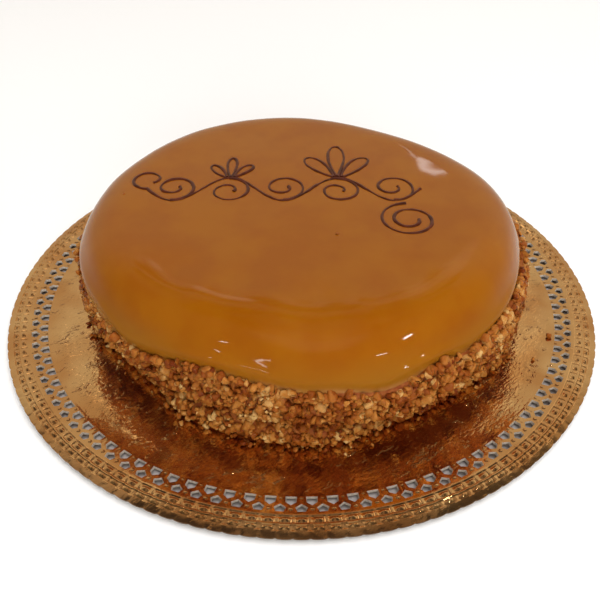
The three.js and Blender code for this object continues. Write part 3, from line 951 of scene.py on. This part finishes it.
@dataclass
class GlazeCoat:
    """The caramel glaze: level on top, round over the shoulder, ending in a soft lip
    under a slight sag."""

    form: CakeForm = FORM
    segments: int = 288
    thickness: float = 2.7 * MM
    flat_shares: tuple[float, ...] = (0.12, 0.24, 0.36, 0.46, 0.54, 0.61, 0.67, 0.72)
    shoulder_rings: int = 34
    lip: tuple[tuple[float, float], ...] = ((0.25, -0.5), (0.1, -1.1), (-0.5, -1.5), (-1.3, -1.55),
                                            (-2.1, -1.1), (-2.6, 0.4))   # out, down in mm
    inner_shares: tuple[float, ...] = (0.97, 0.87, 0.72)
    swell: float = 0.8 * MM
    swell_size: float = 34 * MM
    # Where the top sank towards its edge as it set: middle and half width in degrees,
    # with the millimetres between them.
    slumps: tuple[tuple[float, float, float], ...] = ((-84, 1.0, 7), (-66, 0.5, 6), (-54, 1.0, 8),
                                                      (-112, 0.5, 6), (-131, 0.9, 9))
    # Where it gathered in a roll over the lip: middle and half width in degrees, with
    # the millimetres that it stands out between them.
    rolls: tuple[tuple[float, float, float], ...] = ((-112, 0.9, 8), (-92, 0.5, 7), (-60, 1.4, 7),
                                                     (-135, 0.8, 8), (-30, 0.6, 9), (35, 0.7, 16),
                                                     (95, 0.8, 20), (165, 0.7, 15))
    roll_above: float = 6.4 * MM
    roll_size: float = 2.2 * MM
    sag: float = 1.2 * MM         # how far the sag stands out
    sag_above: float = 5 * MM     # its middle, above the lip
    sag_size: float = 4.5 * MM
    sag_wave: tuple[float, int, float] = (0.25, 9, 1)     # share that comes and goes, times, shift
    roll_wave: tuple[float, int] = (1.2 * MM, 7)      # how far the rolls rise and fall, times
    slump_shares: tuple[float, float] = (0.6, 0.97)       # of the oval, from where to where
    slump_ease: tuple[float, float] = (0.16, 0.1)     # shares over which it starts and ends
    skirt: float = 12 * MM        # how far below the shoulder the glaze may run
    lip_reflection_width: float = 1.9 * MM     # of the stretch above the lip that carries the painted reflection

    def build(self) -> bpy.types.Object:
        """Stack, shape, swell and dress the glaze.

        Returns:
            The finished glaze.
        """
        rings = len(self.flat_shares) + self.shoulder_rings + len(self.lip) + len(self.inner_shares)
        coat = ring_stack("glaze_coat", self.segments, rings)
        self.shape(coat, rings)
        self.undulate(coat)
        coat.data.materials.append(CaramelGlaze().material())
        coat.data.shade_smooth()
        return hand_over(coat, "glaze_coat", "caramel_glaze", "caramel_glaze")

    def shoulder(self, angle: np.ndarray, step: np.ndarray) -> tuple[np.ndarray, np.ndarray]:
        """Share and height at an even step of the way from the flat top to the lip.

        Args:
            angle: round the cake.
            step: 0 at the flat top, 1 at the lip.

        Returns:
            The share of the oval and the height over the tray's underside.
        """
        form = self.form
        turn = np.linspace(0, 1, 400)
        share = form.flat_share + (1 - form.flat_share) * turn
        z = form.dome(share)
        share, z = np.append(share, 1.0), np.append(z, z[-1] - self.skirt)
        run = np.hypot(np.diff(share) * form.half_depth, np.diff(z))
        along = np.concatenate([[0], np.cumsum(run)])
        lip_turn = np.interp(-form.glaze_edge(angle), -z, along)
        reach = step * lip_turn
        return np.interp(reach, along, share), np.interp(reach, along, z)

    def slump(self, angle: np.ndarray, share: np.ndarray | float) -> np.ndarray:
        """How far the top has sunk at a share of the oval, all of it before the side."""
        first, last = self.slump_shares
        start, end = self.slump_ease
        out = np.clip((share - first) / start, 0, 1) * np.clip((last - share) / end, 0, 1)
        return self.form.local(angle, self.slumps, 2) * MM * out ** 2 * (3 - 2 * out)

    def sag_out(self, angle: np.ndarray, z: np.ndarray) -> np.ndarray:
        """How far the glaze has sagged outwards just above its lip."""
        height = z - self.form.glaze_edge(angle)
        part, times, shift = self.sag_wave
        above = (height - self.sag_above) / self.sag_size
        sag = self.sag * (1 - part + part * np.sin(times * angle + shift)) * np.exp(-above ** 2)
        rise, times = self.roll_wave
        above = (height - self.roll_above + rise * np.sin(times * angle)) / self.roll_size
        return sag + self.form.local(angle, self.rolls, 2) * MM * np.exp(-above ** 2)

    def shape(self, coat: bpy.types.Object, rings: int) -> None:
        """Draw the rings out over the top, the shoulder, the lip and back beneath."""
        form = self.form
        unit = places(coat)
        angle = np.arctan2(unit[:, 1], unit[:, 0])
        level = np.rint(unit[:, 2]).astype(int)
        count = len(level)
        shaped = np.zeros((count, 3))
        first = 0
        for share in self.flat_shares:
            ring = level == first
            top = form.dome(np.full(ring.sum(), share)) - self.slump(angle[ring], share)
            shaped[ring] = form.points(angle[ring], 0, top, share)
            first += 1
        for k in range(1, self.shoulder_rings + 1):
            ring = level == first
            share, z = self.shoulder(angle[ring], np.full(ring.sum(), k / self.shoulder_rings))
            sunk = z - self.slump(angle[ring], share)
            shaped[ring] = form.points(angle[ring], self.sag_out(angle[ring], z), sunk, share)
            first += 1
        for out, down in self.lip:
            ring = level == first
            share, z = self.shoulder(angle[ring], np.ones(ring.sum()))
            sag = self.sag_out(angle[ring], z)
            shaped[ring] = form.points(angle[ring], out * MM + sag, z + down * MM, share)
            first += 1
        for share in self.inner_shares:
            ring = level == first
            under = form.dome(np.full(ring.sum(), share), self.thickness)
            shaped[ring] = form.points(angle[ring], -self.thickness, under, share)
            first += 1
        shaped[level < 0] = (form.x, form.y, form.dome(np.zeros(1))[0])
        shaped[level >= rings] = (form.x, form.y, form.dome(np.zeros(1), self.thickness)[0])
        place_all(coat, shaped)
        # The painted reflection's mask: 1 at the lip, fading out above it.
        above = np.maximum(shaped[:, 2] - form.glaze_edge(angle), 0) / self.lip_reflection_width
        near_lip = coat.data.attributes.new(CaramelGlaze.NEAR_LIP, "FLOAT", "POINT")
        near_lip.data.foreach_set("value", np.exp(-above ** 2).astype(np.float32))
        make_active(coat)
        pick(coat, np.ones(count, bool))
        bpy.ops.mesh.select_all(action="SELECT")
        bpy.ops.mesh.normals_make_consistent(inside=False)
        bpy.ops.object.mode_set(mode="OBJECT")

    def undulate(self, coat: bpy.types.Object) -> None:
        """Let the surface swell and sink a little, as a poured glaze does."""
        clouds = bpy.data.textures.new("glaze swell", "CLOUDS")
        clouds.noise_scale = self.swell_size
        clouds.noise_depth = 1
        apply_modifier(coat, "DISPLACE", texture=clouds, strength=self.swell, mid_level=0.5,
                       texture_coords="LOCAL")
        bpy.data.textures.remove(clouds)


# ------------------------------------------------------------------- almonds

@dataclass(frozen=True)
class AlmondTier:
    """One kind of almond in the cake's side."""

    name: str
    count: int
    heights: tuple[float, float]  # lowest and highest, as shares of the way up to the glaze
    sizes: tuple[float, float]
    depth: float                  # how unevenly deep the grains sit
    painted_light: float = 0            # painted light added to every grain's tone
    small_power: float = 1.5      # more than 1 makes small grains the more common
    stray_angle: float = 0.012
    stray_height: float = 0.5 * MM


@dataclass
class AlmondChopper:
    """Chopped almonds: a few cut pieces modelled once, then strewn as joined meshes."""

    form: CakeForm = FORM
    cuts: int = 12                # different chopped pieces
    widths: tuple[float, float] = (0.65, 0.95)        # of a block, in its lengths
    heights: tuple[float, float] = (0.5, 0.8)
    slants: tuple[float, float] = (0.2, 0.36)         # how far from its middle a cut goes
    broken_edge: float = 0.12
    tone: tuple[float, float] = (0.42, 0.15)          # mean and spread; 0 is skin, 1 is cream
    tone_blur: float = 0.06       # spread of tone over one grain
    in_skin: float = 0.08         # share of the grains that show their skin
    skin_tones: tuple[float, float] = (0.0, 0.2)
    fresh_cut: float = 0.04       # share of the grains that show a pale cut
    cream_tones: tuple[float, float] = (0.8, 1.0)
    settle: float = 0.35          # of its size that the lowest grain's middle lies above the disc
    sink: float = 0.42            # of its size that a grain's middle lies behind the band's face
    seed: int = 23
    material: bpy.types.Material | None = None
    shapes: list[tuple[np.ndarray, list[tuple[int, ...]]]] = field(default_factory=list)

    def chop(self) -> None:
        """Model the chopped pieces, each about one unit long."""
        self.material = CaramelisedAlmond().material()
        roll = np.random.default_rng(self.seed)
        for _ in range(self.cuts):
            self.shapes.append(self.chopped_piece(roll))

    def chopped_piece(self, roll: np.random.Generator) -> tuple[np.ndarray, list[tuple[int, ...]]]:
        """One chopped piece: a block, cut across at two slants, its edges broken
        wide where caramel has rounded them.

        Args:
            roll: the source of chance.

        Returns:
            Its vertex places and its faces.
        """
        begin()
        bpy.ops.mesh.primitive_cube_add(size=1)
        block = bpy.context.object
        block.scale = (1, roll.uniform(*self.widths), roll.uniform(*self.heights))
        bpy.ops.object.transform_apply(scale=True)
        pick(block, np.ones(8, bool))
        for _ in range(2):
            slant = Vector(roll.normal(size=3)).normalized()
            bpy.ops.mesh.select_all(action="SELECT")
            bpy.ops.mesh.bisect(plane_co=slant * roll.uniform(*self.slants), plane_no=slant,
                                use_fill=True, clear_outer=True)
        bpy.ops.mesh.select_all(action="SELECT")
        bpy.ops.mesh.bevel(offset=self.broken_edge, segments=1, affect="EDGES")
        bpy.ops.object.mode_set(mode="OBJECT")
        points = places(block)
        points -= (points.max(0) + points.min(0)) / 2
        points /= np.ptp(points, axis=0).max()
        faces = [tuple(face.vertices) for face in block.data.polygons]
        bpy.data.objects.remove(block)
        return points, faces

    def turned(self, points: np.ndarray, roll: np.random.Generator) -> np.ndarray:
        """The points turned any way at random."""
        q = roll.normal(size=4)
        w, x, y, z = q / np.linalg.norm(q)
        spin = np.array([
            [1 - 2 * (y * y + z * z), 2 * (x * y - w * z), 2 * (x * z + w * y)],
            [2 * (x * y + w * z), 1 - 2 * (x * x + z * z), 2 * (y * z - w * x)],
            [2 * (x * z - w * y), 2 * (y * z + w * x), 1 - 2 * (x * x + y * y)]])
        return points @ spin.T

    def strew(self, name: str, centres: np.ndarray, sizes: np.ndarray, tones: np.ndarray,
              floor: float) -> bpy.types.Object:
        """Join one grain at every centre into a piece.

        Args:
            name: the piece's name.
            centres: rows of x, y, z.
            sizes: longest measure of each grain.
            tones: 0 for brown skin to 1 for a cream cut.
            floor: height that no grain goes under.

        Returns:
            The finished piece.
        """
        roll = np.random.default_rng(self.seed + len(centres))
        points, faces, tone = [], [], []
        first = 0
        for centre, size, shade in zip(centres, sizes, tones):
            shape, sides = self.shapes[roll.integers(len(self.shapes))]
            grain = self.turned(shape * size, roll) + centre
            grain[:, 2] += max(floor - grain[:, 2].min(), 0)
            points.append(grain)
            faces += [tuple(first + k for k in side) for side in sides]
            tone += [shade] * len(grain)
            first += len(grain)
        mesh = bpy.data.meshes.new(name)
        mesh.from_pydata(np.concatenate(points).tolist(), [], faces)
        layer = mesh.attributes.new(CaramelisedAlmond.TONE, "FLOAT", "POINT")
        blur = roll.normal(0, self.tone_blur, len(tone))
        layer.data.foreach_set("value", np.clip(np.array(tone) + blur, 0, 1).astype(np.float32))
        mesh.materials.append(self.material)
        mesh.shade_smooth()
        piece = bpy.data.objects.new(name, mesh)
        bpy.context.scene.collection.objects.link(piece)
        return hand_over(piece, name, "caramelised_almond")

    def tones(self, count: int, roll: np.random.Generator) -> np.ndarray:
        """A tone for each grain: most golden brown, some cream, some in their skin."""
        tone = roll.normal(*self.tone, count)
        skin = roll.random(count) < self.in_skin
        cream = roll.random(count) < self.fresh_cut
        tone = np.where(skin, roll.uniform(*self.skin_tones, count), tone)
        return np.clip(np.where(cream, roll.uniform(*self.cream_tones, count), tone), 0, 1)

    def press(self, tier: AlmondTier) -> bpy.types.Object:
        """Press one tier of almonds into the side of the cake.

        Args:
            tier: what it is made of.

        Returns:
            The finished piece.
        """
        count = tier.count
        roll = np.random.default_rng(self.seed + count)
        low, high = tier.heights
        small, large = tier.sizes
        golden, plastic = 0.6180339887, 0.7548776662      # steps that spread evenly, round and up
        number = np.arange(count)
        angle = FULL * ((number * golden) % 1) + roll.normal(0, tier.stray_angle, count)
        size = small + (large - small) * roll.random(count) ** tier.small_power
        share = low + (high - low) * ((number * plastic) % 1)
        bottom = self.form.disc_top + self.settle * size
        z = bottom + (self.form.glaze_edge(angle) - bottom) * share
        z = z + roll.normal(0, tier.stray_height, count)
        out = self.form.band_out(angle, z) - self.sink * size + roll.uniform(-tier.depth, tier.depth, count)
        centres = self.form.points(angle, out, z)
        # Painted light: the tier's lift of every grain's tone.
        tones = self.tones(count, roll) + tier.painted_light
        return self.strew(tier.name, centres, size, tones, self.form.disc_top)


@dataclass
class AlmondCoat:
    """All the almonds: the lower tier, the heaped band above it, the fine bits between
    them, and what has fallen on the tray."""

    chopper: AlmondChopper
    form: CakeForm = FORM
    tiers: tuple[AlmondTier, ...] = (
        # The foot's lift is painted light, for light bounced up from the foil under the band; the band's is
        # a little painted light too.
        AlmondTier("almond_foot", 900, (0.0, 0.32), (3.0 * MM, 5.8 * MM), 0.8 * MM, 0.08),
        AlmondTier("almond_band", 1700, (0.42, 0.97), (2.9 * MM, 6.8 * MM), 1.0 * MM, 0.03),
        AlmondTier("almond_bits", 2500, (0.0, 1.0), (1.5 * MM, 2.7 * MM), 0.9 * MM))
    lip_seed: int = 8
    lip_tries: int = 600          # places that are tried for a grain on the lip
    lip_sizes: tuple[float, float] = (2.4 * MM, 4.8 * MM)
    lip_low: float = 0.8          # mm under the glaze's edge that they start
    lip_climb: float = 3.2        # mm that they reach up where they climb most
    lip_out: tuple[float, float] = (0.4, 1.2)         # mm
    crumb_seed: int = 9
    crumbs: int = 90
    crumb_reach: float = 1.8 * MM     # mean way from the cake's foot
    crumb_size: tuple[float, float] = (2.2, 0.8)      # mean and spread in mm
    crumb_limits: tuple[float, float] = (1.0, 3.8)    # mm
    crumb_fade: float = 14 * MM   # way out over which they get smaller
    bedded: float = 0.3           # of its size that a crumb's middle lies above the tray
    speck_tone: float = 0.3
    speck_rise: float = 0.1       # of its size that a speck's middle lies above the glaze
    # Where the almonds climb over the glaze's lip: middle, share, half width.
    climbs: tuple[tuple[float, float, float], ...] = ((-112, 1, 14), (-58, 0.9, 5), (-25, 1, 15),
                                                      (-47, 0.8, 10), (70, 0.7, 30), (160, 0.7, 25))
    # Single crumbs on the tray and specks on the glaze: x, y and size in millimetres.
    strays: tuple[tuple[float, float, float], ...] = ((130.1, -41.6, 3.0), (118, -58, 2.4),
                                                      (6.2, -119.4, 2.8))
    specks: tuple[tuple[float, float, float], ...] = ((17, -37.2, 1.3), (-91.1, -0.6, 1.4))

    def build(self) -> None:
        """Strew each kind of almond as a piece of its own."""
        self.chopper.chop()
        for tier in self.tiers:
            self.chopper.press(tier)
        self.lip_grains()
        self.fallen()
        self.glaze_specks()

    def glaze_specks(self) -> None:
        """The odd crumb caught on the glaze."""
        speck = np.array(self.specks) * MM
        sizes = speck[:, 2].copy()
        across = (speck[:, 0] - self.form.x) / self.form.half_width
        share = np.hypot(across, (speck[:, 1] - self.form.y) / self.form.half_depth)
        speck[:, 2] = self.form.dome(share) + self.speck_rise * sizes
        tones = np.full(len(sizes), self.speck_tone)
        self.chopper.strew("glaze_specks", speck, sizes, tones, self.form.disc_top)

    def lip_grains(self) -> None:
        """Grains that stick out over the glaze's lower edge."""
        roll = np.random.default_rng(self.lip_seed)
        angle = FULL * roll.random(self.lip_tries)
        heap = self.form.local(angle, self.climbs, 2)
        angle = angle[heap > roll.random(self.lip_tries)]
        count = len(angle)
        heap = self.form.local(angle, self.climbs, 2)
        size = roll.uniform(*self.lip_sizes, count)
        climb = roll.random(count) * self.lip_climb * heap - self.lip_low
        z = self.form.glaze_edge(angle) + climb * MM
        out = 0.25 * size + roll.uniform(*self.lip_out, count) * MM
        centres = self.form.points(angle, out, z)
        self.chopper.strew("almond_lip", centres, size, self.chopper.tones(count, roll),
                           self.form.disc_top)

    def fallen(self) -> None:
        """Crumbs of almond on the tray, thick at the cake's foot and few farther out."""
        roll = np.random.default_rng(self.crumb_seed)
        count = self.crumbs
        angle = FULL * roll.random(count)
        away = roll.exponential(self.crumb_reach, count)
        foot = np.full(count, self.form.disc_top + 3 * MM)
        out = self.form.band_out(angle, foot) + MM + away
        size = np.clip(roll.normal(*self.crumb_size, count), *self.crumb_limits) * MM
        size = size * np.exp(-away / self.crumb_fade)
        centres = self.form.points(angle, out, self.form.disc_top + self.bedded * size)
        stray = np.array(self.strays) * MM
        sizes = np.concatenate([size, stray[:, 2]])
        climbed = np.array([FoilTray().climb(math.hypot(x, y)) for x, y, _ in stray])
        stray[:, 2] = self.form.disc_top + climbed + self.bedded * stray[:, 2]
        centres = np.concatenate([centres, stray])
        self.chopper.strew("fallen_crumbs", centres, sizes, self.chopper.tones(len(sizes), roll),
                           self.form.disc_top)


# ------------------------------------------------------------ piped chocolate

@dataclass
class PipedScroll:
    """A running scroll of vine curls, leaves and end curls, piped in chocolate."""

    coat: bpy.types.Object        # the glaze that it lies on
    left: float = -80
    right: float = 62
    middle_y: float = 4
    half_waves: int = 5
    swing: float = 11
    curl_radius: float = 12.4
    curl_end: float = 3
    curl_turns: float = 1.3
    fans: tuple[tuple[int, float], ...] = ((1, 21), (3, 34))     # half wave, leaf length
    fan_lean: float = 0.6         # of a fan's side leaves from the upright
    side_leaf: float = 0.75       # length of a side leaf, in middle ones
    leaf_gap: float = 0.35        # turn that a leaf's loop is left open at its stalk
    # The curls off both ends: x, y, first and last radius, start angle, turns.
    end_curls: tuple[tuple[float, ...], ...] = ((-80, 14, 10, 4, -math.pi / 2, -0.9),
                                                (53, -25, 15, 4.5, math.pi / 2, 1.75))
    step: float = 0.9
    bead: float = 0.76 * MM       # radius of the piped line
    seed: int = 31

    def build(self) -> bpy.types.Object:
        """Pipe every line and join them.

        Returns:
            The finished scroll.
        """
        roll = np.random.default_rng(self.seed)
        ends = [self.spiral(*curl) for curl in self.end_curls]
        lines = [self.stem(), *self.curls(), *self.leaves(), *ends]
        curve = bpy.data.curves.new("piped_scroll", "CURVE")
        curve.dimensions = "3D"
        curve.bevel_depth = self.bead
        curve.bevel_resolution = 2
        curve.use_fill_caps = True
        for line in lines:
            self.pipe(curve, line, roll)
        piece = bpy.data.objects.new("piped_scroll", curve)
        bpy.context.scene.collection.objects.link(piece)
        make_active(piece)
        bpy.ops.object.convert(target="MESH")
        piece = bpy.context.object
        piece.data.materials.append(PipedChocolate().material())
        piece.data.shade_smooth()
        return hand_over(piece, "piped_scroll", None, "caramel_glaze")

    def pipe(self, curve: bpy.types.Curve, line: np.ndarray, roll: np.random.Generator) -> None:
        """Add one piped line, its thickness and course wavering as a hand's do."""
        count = len(line)
        spline = curve.splines.new("POLY")
        spline.points.add(count - 1)
        soft = np.convolve(roll.normal(0, 1, count + 8), np.ones(9) / 3, "valid")
        waver = np.stack([np.convolve(roll.normal(0, 0.5, count + 12), np.ones(13) / 13, "valid")
                          for _ in range(2)], axis=1)
        x, y = ((line + waver) * MM).T
        z = np.array([self.surface(*spot) for spot in zip(x, y)]) - 0.1 * self.bead
        ends = np.minimum(np.arange(count), np.arange(count)[::-1])
        blob = 1 + 0.35 * np.exp(-ends / 1.5)
        spline.points.foreach_set("co", np.stack([x, y, z, np.ones(count)], axis=1).ravel())
        spline.points.foreach_set("radius", np.clip(blob + 0.16 * soft, 0.7, 1.35))

    def surface(self, x: float, y: float) -> float:
        """Height of the glaze at a point of its top."""
        return self.coat.ray_cast(Vector((x, y, 0.2)), Vector((0, 0, -1)))[1].z

    def spiral(self, x: float, y: float, radius: float, end: float, start: float,
               turns: float) -> np.ndarray:
        """A curl that closes from one radius to another.

        Args:
            x: its middle, in millimetres from the tray's middle.
            y: the same.
            radius: where it starts.
            end: where it ends.
            start: the angle that it starts at.
            turns: how often it goes round, less than 0 for clockwise.

        Returns:
            Rows of x and y in millimetres.
        """
        length = abs(turns) * math.pi * (radius + end)
        t = np.linspace(0, 1, max(8, round(length / self.step)))
        r = radius + (end - radius) * t
        angle = start + FULL * turns * t
        return np.stack([x + r * np.cos(angle), y + r * np.sin(angle)], axis=1)

    def stem_point(self, t: np.ndarray) -> np.ndarray:
        """The stem's course: one long wave across the cake."""
        x = self.left + (self.right - self.left) * t
        y = self.middle_y - self.swing * np.sin(math.pi * self.half_waves * t)
        return np.stack([x, y], axis=-1)

    def stem(self) -> np.ndarray:
        """The whole stem."""
        count = round(1.3 * (self.right - self.left) / self.step)
        return self.stem_point(np.linspace(0, 1, count))

    def curls(self) -> list[np.ndarray]:
        """The curl in the hollow of each half wave."""
        made = []
        for k in range(self.half_waves):
            x, y = self.stem_point(np.array((k + 0.5) / self.half_waves))
            up = 1 if k % 2 else -1
            made.append(self.spiral(x - 0.4, y - up * (self.curl_radius + 0.3), self.curl_radius,
                                    self.curl_end, up * math.pi / 2, -up * self.curl_turns))
        return made

    def leaves(self) -> list[np.ndarray]:
        """Three leaves over each upward wave that has a fan."""
        made = []
        for wave, length in self.fans:
            x, y = self.stem_point(np.array((wave + 0.5) / self.half_waves))
            for lean in (-self.fan_lean, 0, self.fan_lean):
                long = length * (self.side_leaf if lean else 1)
                made.append(self.leaf(x - 3 * lean, y + 0.6, math.pi / 2 + lean, long, length / 3))
        return made

    def leaf(self, x: float, y: float, direction: float, length: float, width: float) -> np.ndarray:
        """One leaf-shaped loop, open by a hair at its stalk."""
        t = np.linspace(self.leaf_gap, FULL - self.leaf_gap, round(2.2 * length / self.step))
        along = length * (1 - np.cos(t)) / 2
        across = width * np.sin(t) * np.sin(t / 2) / 2
        return np.stack([x + along * math.cos(direction) - across * math.sin(direction),
                         y + along * math.sin(direction) + across * math.cos(direction)], axis=1)


# -------------------------------------------------------------------- studio

@dataclass
class Studio:
    """A pale floor with painted shade under the tray, pale walls under a darker
    ceiling, soft lamps and the camera.
    """

    eye: tuple[float, float, float] = (0, -312.2 * MM, 254.0 * MM)
    pitch: float = math.radians(90 - 39.85)
    yaw: float = math.radians(0.13)
    roll: float = math.radians(-0.19)
    lens: float = 42
    floor_size: float = 8
    floor_drop: float = 0.02 * MM     # that keeps it clear of the tray
    painted_shade_radii: tuple[float, float] = (151 * MM, 158 * MM)   # radii of full painted shade under the tray and of open floor
    # The room's colours from straight down at 0 to straight up at 1.
    room: tuple[tuple[float, str], ...] = ((0.3, "E0D0C2"), (0.46, "CDBEAE"), (0.55, "BCAE9A"),
                                           (0.852, "C0B29E"), (0.88, "968879"), (1.0, "8C7868"))
    # Brighter places in the room: towards, half width at the rim and of the middle in
    # degrees, added strength.
    windows: tuple[tuple[tuple[float, float, float], float, float, float], ...] = (
        ((0, -0.74, 0.67), 30, 12, 0.6), ((0, -0.25, 0.97), 25, 8, 0.45),
        ((-0.228, 0.558, 0.798), 6, 2, 2.5), ((0.361, 0.578, 0.731), 13, 5, 0.5))

    def build(self) -> None:
        """Set up everything that isn't the object."""
        self.floor()
        self.walls()
        self.lamps()
        self.camera()
        bpy.context.scene.view_settings.view_transform = "Standard"

    def floor(self) -> None:
        """The floor, just under the tray, with painted shade where the tray covers it."""
        begin()
        bpy.ops.mesh.primitive_plane_add(size=self.floor_size, location=(0, 0, -self.floor_drop))
        floor = bpy.context.object
        floor.name = "floor"
        material, tree = new_material("pale floor with painted shade")
        # Painted shade: grey under the tray, fading to the pale open floor.
        away = remap(tree, length_of(tree, own_place(tree)), *self.painted_shade_radii)
        surface(tree, Base_Color=ramp(tree, away, (0.0, "A49C99"), (1.0, "FDFEFF")),
                Roughness=0.9, Specular_IOR_Level=0.1)
        floor.data.materials.append(material)
        floor.visible_glossy = False

    def walls(self) -> None:
        """Pale walls up to about 45 degrees on all sides but the front, a darker and
        uneven ceiling over them, and a pale glow from below."""
        world = bpy.data.worlds.new("pale room")
        bpy.context.scene.world = world
        world.use_nodes = True
        tree = world.node_tree
        tree.nodes.clear()
        where = add_node(tree, "ShaderNodeTexCoord").outputs["Generated"]
        axes = add_node(tree, "ShaderNodeSeparateXYZ", Vector=where)
        colour = ramp(tree, remap(tree, axes.outputs["Z"], -1.0, 1.0), *self.room)
        panels = add_node(tree, "ShaderNodeTexNoise", Vector=where, Scale=5.0, Detail=1.0)
        uneven = remap(tree, panels.outputs["Fac"], 0.42, 0.58, 0.55, 2.0)
        above = remap(tree, axes.outputs["Z"], 0.7, 0.76)
        ceiling = add_node(tree, "ShaderNodeMix", Factor=above, at2=1.0, at3=uneven).outputs[0]
        behind = remap(tree, axes.outputs["Y"], 0.1, 0.55, 0.25)
        strength = calculate(tree, "MULTIPLY", ceiling, behind)
        for towards, rim, middle, more in self.windows:
            near = add_node(tree, "ShaderNodeVectorMath", {"operation": "DOT_PRODUCT"}, at0=where,
                            at1=Vector(towards).normalized())
            glow = remap(tree, near.outputs["Value"], math.cos(math.radians(rim)),
                         math.cos(math.radians(middle)), 0.0, more, smooth=True)
            strength = calculate(tree, "ADD", strength, glow)
        light = add_node(tree, "ShaderNodeBackground", Color=colour, Strength=strength)
        add_node(tree, "ShaderNodeOutputWorld", Surface=light.outputs["Background"])

    def lamps(self) -> None:
        """Three wide soft lamps, and small ones that only glint in the glaze."""
        upright = Vector((0, 0, 1))
        self.lamp("over", (0.5, -0.5, 3.0), (3.2, 3.2), 100, Vector((1, 0, 0)))
        self.lamp("left", (-3.0, -1.0, 2.2), (2.4, 2.4), 3, upright)
        self.lamp("front", (0.3, -2.9, 0.5), (1.6, 1.6), 54, upright)
        for name, place, size, power, along in (
                ("shoulder_right", (0.80, -0.75, 0.385), (0.12, 0.02), 0.6, (0.087, 0.141, 0.095)),
                ("shoulder_left", (-0.672, -0.899, 0.287), (0.06, 0.014), 0.05, (0.04, -0.03, 0.01)),
                ("lip_left", (-0.178, -0.472, 0.04), (0.04, 0.004), 0.005, (0.12, -0.04, 0)),
                ("lip_right", (0.253, -0.426, 0.05), (0.04, 0.007), 0.02, (0.06, 0.046, 0)),
                ("far_streak", (0.40, 1.70, 0.93), (0.19, 0.016), 0.014, (0.06, -0.034, 0.046)),
                ("far_patch", (0.425, 1.66, 0.94), (0.07, 0.035), 0.014, (0.06, -0.034, 0.046))):
            self.lamp(name, place, size, power, Vector(along), True)

    def lamp(self, name: str, place: tuple[float, float, float], size: tuple[float, float],
             power: float, along: Vector, mirrored: bool = False) -> None:
        """One oblong lamp that faces the cake.

        Args:
            name: the lamp's name.
            place: where it hangs.
            size: its length and width.
            power: in watts.
            along: which way its length runs.
            mirrored: whether glossy surfaces show it.
        """
        data = bpy.data.lights.new(name, "AREA")
        data.shape = "RECTANGLE"
        data.size, data.size_y = size
        data.energy = power
        lamp = bpy.data.objects.new(name, data)
        bpy.context.scene.collection.objects.link(lamp)
        back = Vector(place).normalized()
        side = along.cross(back).normalized()
        turn = Matrix((back.cross(side), -side, back)).transposed()
        lamp.matrix_world = Matrix.Translation(place) @ turn.to_4x4()
        lamp.visible_camera = False
        lamp.visible_glossy = mirrored

    def camera(self) -> None:
        """The camera at the photograph's place and angle."""
        data = bpy.data.cameras.new("camera")
        data.lens = self.lens
        data.clip_start = 0.01
        camera = bpy.data.objects.new("camera", data)
        bpy.context.scene.collection.objects.link(camera)
        camera.matrix_world = (Matrix.Translation(self.eye) @ Matrix.Rotation(self.yaw, 4, "Z")
                               @ Matrix.Rotation(self.pitch, 4, "X")
                               @ Matrix.Rotation(self.roll, 4, "Z"))
        bpy.context.scene.camera = camera


def main() -> None:
    """Build the tray, the cake and its coats, then the studio."""
    logging.basicConfig(level=logging.INFO, format="%(name)s %(message)s")
    Studio().build()
    FoilTray().build()
    CakeBody().build()
    coat = GlazeCoat().build()
    AlmondCoat(AlmondChopper()).build()
    PipedScroll(coat).build()


if __name__ == "__main__":
    main()
